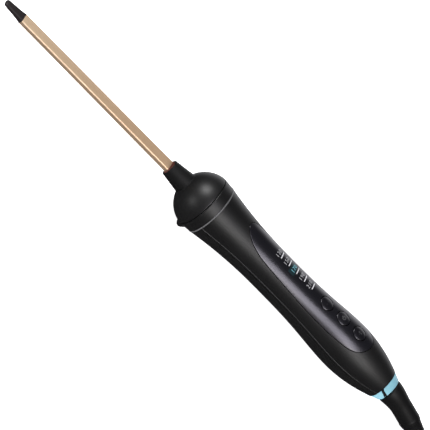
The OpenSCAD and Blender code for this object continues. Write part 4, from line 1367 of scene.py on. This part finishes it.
class WAND_OT_marks(bpy.types.Operator):
    """Makes the light bars and the temperature in front of each"""
    bl_idname = "wand.marks"
    bl_label = "Marks"

    def execute(self, context):
        p = sizes()[2]
        f = paints()
        foot = -0.5 * MM
        bars = [strip(bar_x(i) - p.bar_w / 2, bar_x(i) + p.bar_w / 2, foot, foot + p.bar_len, 0.06 * MM)
                for i in range(5)]
        add_piece("light_bars", *joined(bars), paint(printed, "bar_light", f.mark, 0.2), "handle", "guide",
                  ("light_guide",))
        glow = strip(bar_x(1) + 1.4 * MM, bar_x(2) - 0.9 * MM, -3.6 * MM, 6.8 * MM, 0.015 * MM, 16)
        add_piece("lit_window", *glow, paint(printed, "window_glow", tinted(f.lit, 0.06), 0.07, rough=0.3),
                  "handle", "guide")
        for i in range(5):
            self.figures(i, p, f)
        return {"FINISHED"}

    def figures(self, i, p, f):
        """Three figures reading across the handle."""
        data = bpy.data.curves.new("figures", "FONT")
        data.body = str(p.heat_first + i * p.heat_step)
        data.size, data.align_x, data.align_y = 3.9 * MM, "CENTER", "CENTER"
        data.space_character, data.resolution_u = 1.25, 3
        text = bpy.data.objects.new("figures", data)
        bpy.context.collection.objects.link(text)
        bpy.context.view_layer.update()
        flat = bpy.data.meshes.new_from_object(text.evaluated_get(bpy.context.evaluated_depsgraph_get()))
        bpy.data.objects.remove(text)
        x, y = bar_x(i) - 2.9 * MM, 1.5 * MM
        verts = [on_handle(x - v.co.y, y + v.co.x, -0.05 * MM) for v in flat.vertices]
        faces = [tuple(q.vertices) for q in flat.polygons]
        material = (paint(printed, "figures_lit", f.lit, 0.4) if i == 2
                    else paint(printed, "figures_print", tinted(f.mark, 0.8), 0.0))
        add_piece("heat_mark_%d" % (i + 1), verts, faces, material, "handle", "guide", crease=60)
        bpy.data.meshes.remove(flat)


class WAND_OT_keys(bpy.types.Operator):
    """Makes the three round buttons: crowned, soft at the rim, each with its sign"""
    bl_idname = "wand.keys"
    bl_label = "Buttons"

    def execute(self, context):
        p = sizes()[2]
        f = paints()
        for i, (body, node) in enumerate((("minus_key", "minus_button"), ("power_key", "power_button"),
                                          ("plus_key", "plus_button"))):
            self.key(i, body, node, p, f)
        return {"FINISHED"}

    def key(self, i, body, node, p, f):
        """A crowned round button with a soft rim and its sign."""
        cx, big = button_x(i), p.button_d / 2
        rows = [(0.0, 0.0), (0.15, 0.02), (0.32, 0.09), (0.48, 0.20), (0.62, 0.35), (0.74, 0.52),
                (0.83, 0.68), (0.90, 0.84), (0.95, 1.0), (0.98, 1.3), (0.998, 2.2)]
        rings = []
        count = 64

        def surface(x, y, sink):
            return on_handle(x, y, (sink - 0.75) * p.crown)

        for r, sink in ((share * big, sink) for share, sink in rows[1:]):
            rings.append([surface(cx + r * ca, r * sa, sink) for ca, sa in around(count)])
        for depth in (1.6 * MM, 2.4 * MM):
            rings.append([on_handle(cx + big * ca, big * sa, depth) for ca, sa in around(count)])
        verts = [surface(cx, 0, 0.0)] + [v for ring in rings for v in ring]
        faces = [(0, 1 + k, 1 + (k + 1) % count) for k in range(count)]
        for j in range(len(rings) - 1):
            a, b = 1 + j * count, 1 + (j + 1) * count
            faces += [(a + k, a + (k + 1) % count, b + (k + 1) % count, b + k) for k in range(count)]
        faces.append(tuple(1 + (len(rings) - 1) * count + k for k in range(count)))
        gloss = paint(gloss_panel, "key_gloss", tinted(f.panel, 0.9), rough=0.3)
        add_piece(body + "_cap", verts, faces, gloss, body, "button", (node,), crease=40)

        def sink_at(x, y):
            share = math.hypot(x, y) / big
            for (a, sa), (b, sb) in zip(rows, rows[1:]):
                if a <= share <= b:
                    return sa + (sb - sa) * (share - a) / (b - a)
            return 1.0

        strokes = []
        if i in (0, 2):
            strokes.append([(-0.22, -1.3), (0.22, -1.3), (0.22, 1.3), (-0.22, 1.3)])
        if i == 2:
            strokes += [[(-1.3, -0.22), (-0.24, -0.22), (-0.24, 0.22), (-1.3, 0.22)],
                        [(0.24, -0.22), (1.3, -0.22), (1.3, 0.22), (0.24, 0.22)]]
        if i == 1:
            strokes.append([(-1.75, -0.2), (-0.1, -0.2), (-0.1, 0.2), (-1.75, 0.2)])
            arc = spaced(math.radians(38), math.radians(322), 28)
            outer = [(-1.45 * math.cos(a), 1.45 * math.sin(a)) for a in arc]
            inner = [(-1.05 * math.cos(a), 1.05 * math.sin(a)) for a in arc[::-1]]
            strokes.append(outer + inner)
        verts, faces = [], []
        for loop in strokes:
            base, n = len(verts), len(loop)
            verts += [surface(cx + x * MM, y * MM, sink_at(x * MM, y * MM)) + Vector((0, 0, 0.02 * MM))
                      for x, y in loop]
            if n == 4:
                faces.append(tuple(base + k for k in range(n)))
            else:
                faces += [(base + k, base + k + 1, base + n - 2 - k, base + n - 1 - k)
                          for k in range(n // 2 - 1)]
        add_piece(("minus_sign", "power_sign", "plus_sign")[i], verts, faces,
                  paint(printed, "key_print", tinted(f.mark, 0.2), 0.0), body, "button", crease=60)


# ---------------------------------------------------------------- inner parts

class WAND_OT_inside(bpy.types.Operator):
    """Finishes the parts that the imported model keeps: heater, board, swivel, screws and pins"""
    bl_idname = "wand.inside"
    bl_label = "Inner parts"

    def execute(self, context):
        steel = paint(drawn_metal, "zinc_steel", (0.6, 0.6, 0.62))
        looks = {
            "heater_strip": paint(chalky, "ceramic", (0.85, 0.84, 0.8)),
            "heat_spreaders": paint(drawn_metal, "bare_aluminium", (0.75, 0.75, 0.76)),
            "thermistor": paint(moulded, "bead_epoxy", (0.55, 0.12, 0.03)),
            "thermal_fuse": paint(chalky, "fuse_case", (0.6, 0.57, 0.48)),
            "board_fuse": paint(chalky, "fuse_case", (0.6, 0.57, 0.48)),
            "barrel_holder": paint(chalky, "holder_resin", (0.6, 0.57, 0.48)),
            "holder_screws": steel, "shell_screws": steel, "board_screws": steel,
            "heater_leads": paint(soft_rubber, "red_lead", (0.45, 0.03, 0.02)),
            "sensor_leads": paint(soft_rubber, "white_lead", (0.75, 0.73, 0.68)),
            "supply_leads": paint(soft_rubber, "blue_lead", (0.05, 0.14, 0.42)),
            "main_board": paint(circuit_board),
            "display_leds": paint(printed, "led_lens", (0.8, 0.82, 0.75)),
            "tact_switches": paint(moulded, "switch_case", (0.12, 0.12, 0.13)),
            "controller_chip": paint(moulded, "chip_resin", (0.012, 0.012, 0.013)),
            "triac": paint(moulded, "chip_resin", (0.012, 0.012, 0.013)),
            "capacitor": paint(moulded, "capacitor_film", (0.38, 0.3, 0.03)),
            "swivel_socket": paint(chalky, "holder_resin", (0.6, 0.57, 0.48)),
            "brush_contacts": paint(drawn_metal, "contact_bronze", (0.62, 0.38, 0.16)),
            "contact_rings": paint(drawn_metal, "contact_brass", (0.7, 0.5, 0.2)),
            "swivel_drum": paint(moulded, "drum_plastic", (0.02, 0.02, 0.022)),
            "plug_pins": paint(drawn_metal, "pin_nickel", (0.68, 0.66, 0.62), rough=0.22),
            "pin_sleeves": paint(moulded, "sleeve_plastic", (0.014, 0.014, 0.015)),
        }
        for name, material in looks.items():
            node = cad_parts[name]
            node.data.materials.clear()
            node.data.materials.append(material)
        return {"FINISHED"}


# ---------------------------------------------------------------- add-on

class WAND_PT_panel(bpy.types.Panel):
    """Sizes, finishes and steps of the curling wand"""
    bl_label = "Curling Wand"
    bl_idname = "WAND_PT_panel"
    bl_space_type = "VIEW_3D"
    bl_region_type = "UI"
    bl_category = "Wand"

    def draw(self, context):
        layout = self.layout
        for step in STEPS:
            layout.operator(step.bl_idname)
        for title, group in GROUPS:
            box = layout.box()
            box.label(text=title)
            holder = getattr(context.scene, group)
            for name in holder.bl_rna.properties.keys():
                if name not in ("rna_type", "name"):
                    box.prop(holder, name)


STEPS = (WAND_OT_studio, WAND_OT_plug, WAND_OT_mains_cord, WAND_OT_strain_relief, WAND_OT_hank_tie,
         WAND_OT_cool_tip, WAND_OT_barrel, WAND_OT_neck, WAND_OT_dome, WAND_OT_shells, WAND_OT_trim,
         WAND_OT_foot, WAND_OT_end_ring, WAND_OT_panel, WAND_OT_marks, WAND_OT_keys, WAND_OT_inside)
GROUPS = (("Barrel", "wand_barrel"), ("Handle", "wand_handle"), ("Panel", "wand_panel"),
          ("Cord", "wand_cord"), ("Finishes", "wand_finish"), ("Studio", "wand_studio"))
HOLDERS = (WandBarrelSizes, WandHandleSizes, WandPanelSizes, WandCordSizes, WandFinishes, WandStudio)


def register():
    for cls in HOLDERS + STEPS + (WAND_PT_panel,):
        bpy.utils.register_class(cls)
    for (_, name), cls in zip(GROUPS, HOLDERS):
        setattr(bpy.types.Scene, name, PointerProperty(type=cls))


def unregister():
    for _, name in GROUPS:
        delattr(bpy.types.Scene, name)
    for cls in reversed(HOLDERS + STEPS + (WAND_PT_panel,)):
        bpy.utils.unregister_class(cls)


def main():
    register()
    bpy.ops.wand.studio()
    bpy.ops.wand.plug()
    bpy.ops.wand.mains_cord()
    bpy.ops.wand.strain_relief()
    bpy.ops.wand.hank_tie()
    bpy.ops.wand.cool_tip()
    bpy.ops.wand.barrel()
    bpy.ops.wand.neck()
    bpy.ops.wand.dome()
    bpy.ops.wand.shells()
    bpy.ops.wand.trim()
    bpy.ops.wand.foot()
    bpy.ops.wand.end_ring()
    bpy.ops.wand.panel()
    bpy.ops.wand.marks()
    bpy.ops.wand.keys()
    bpy.ops.wand.inside()


if __name__ == "__main__":
    main()
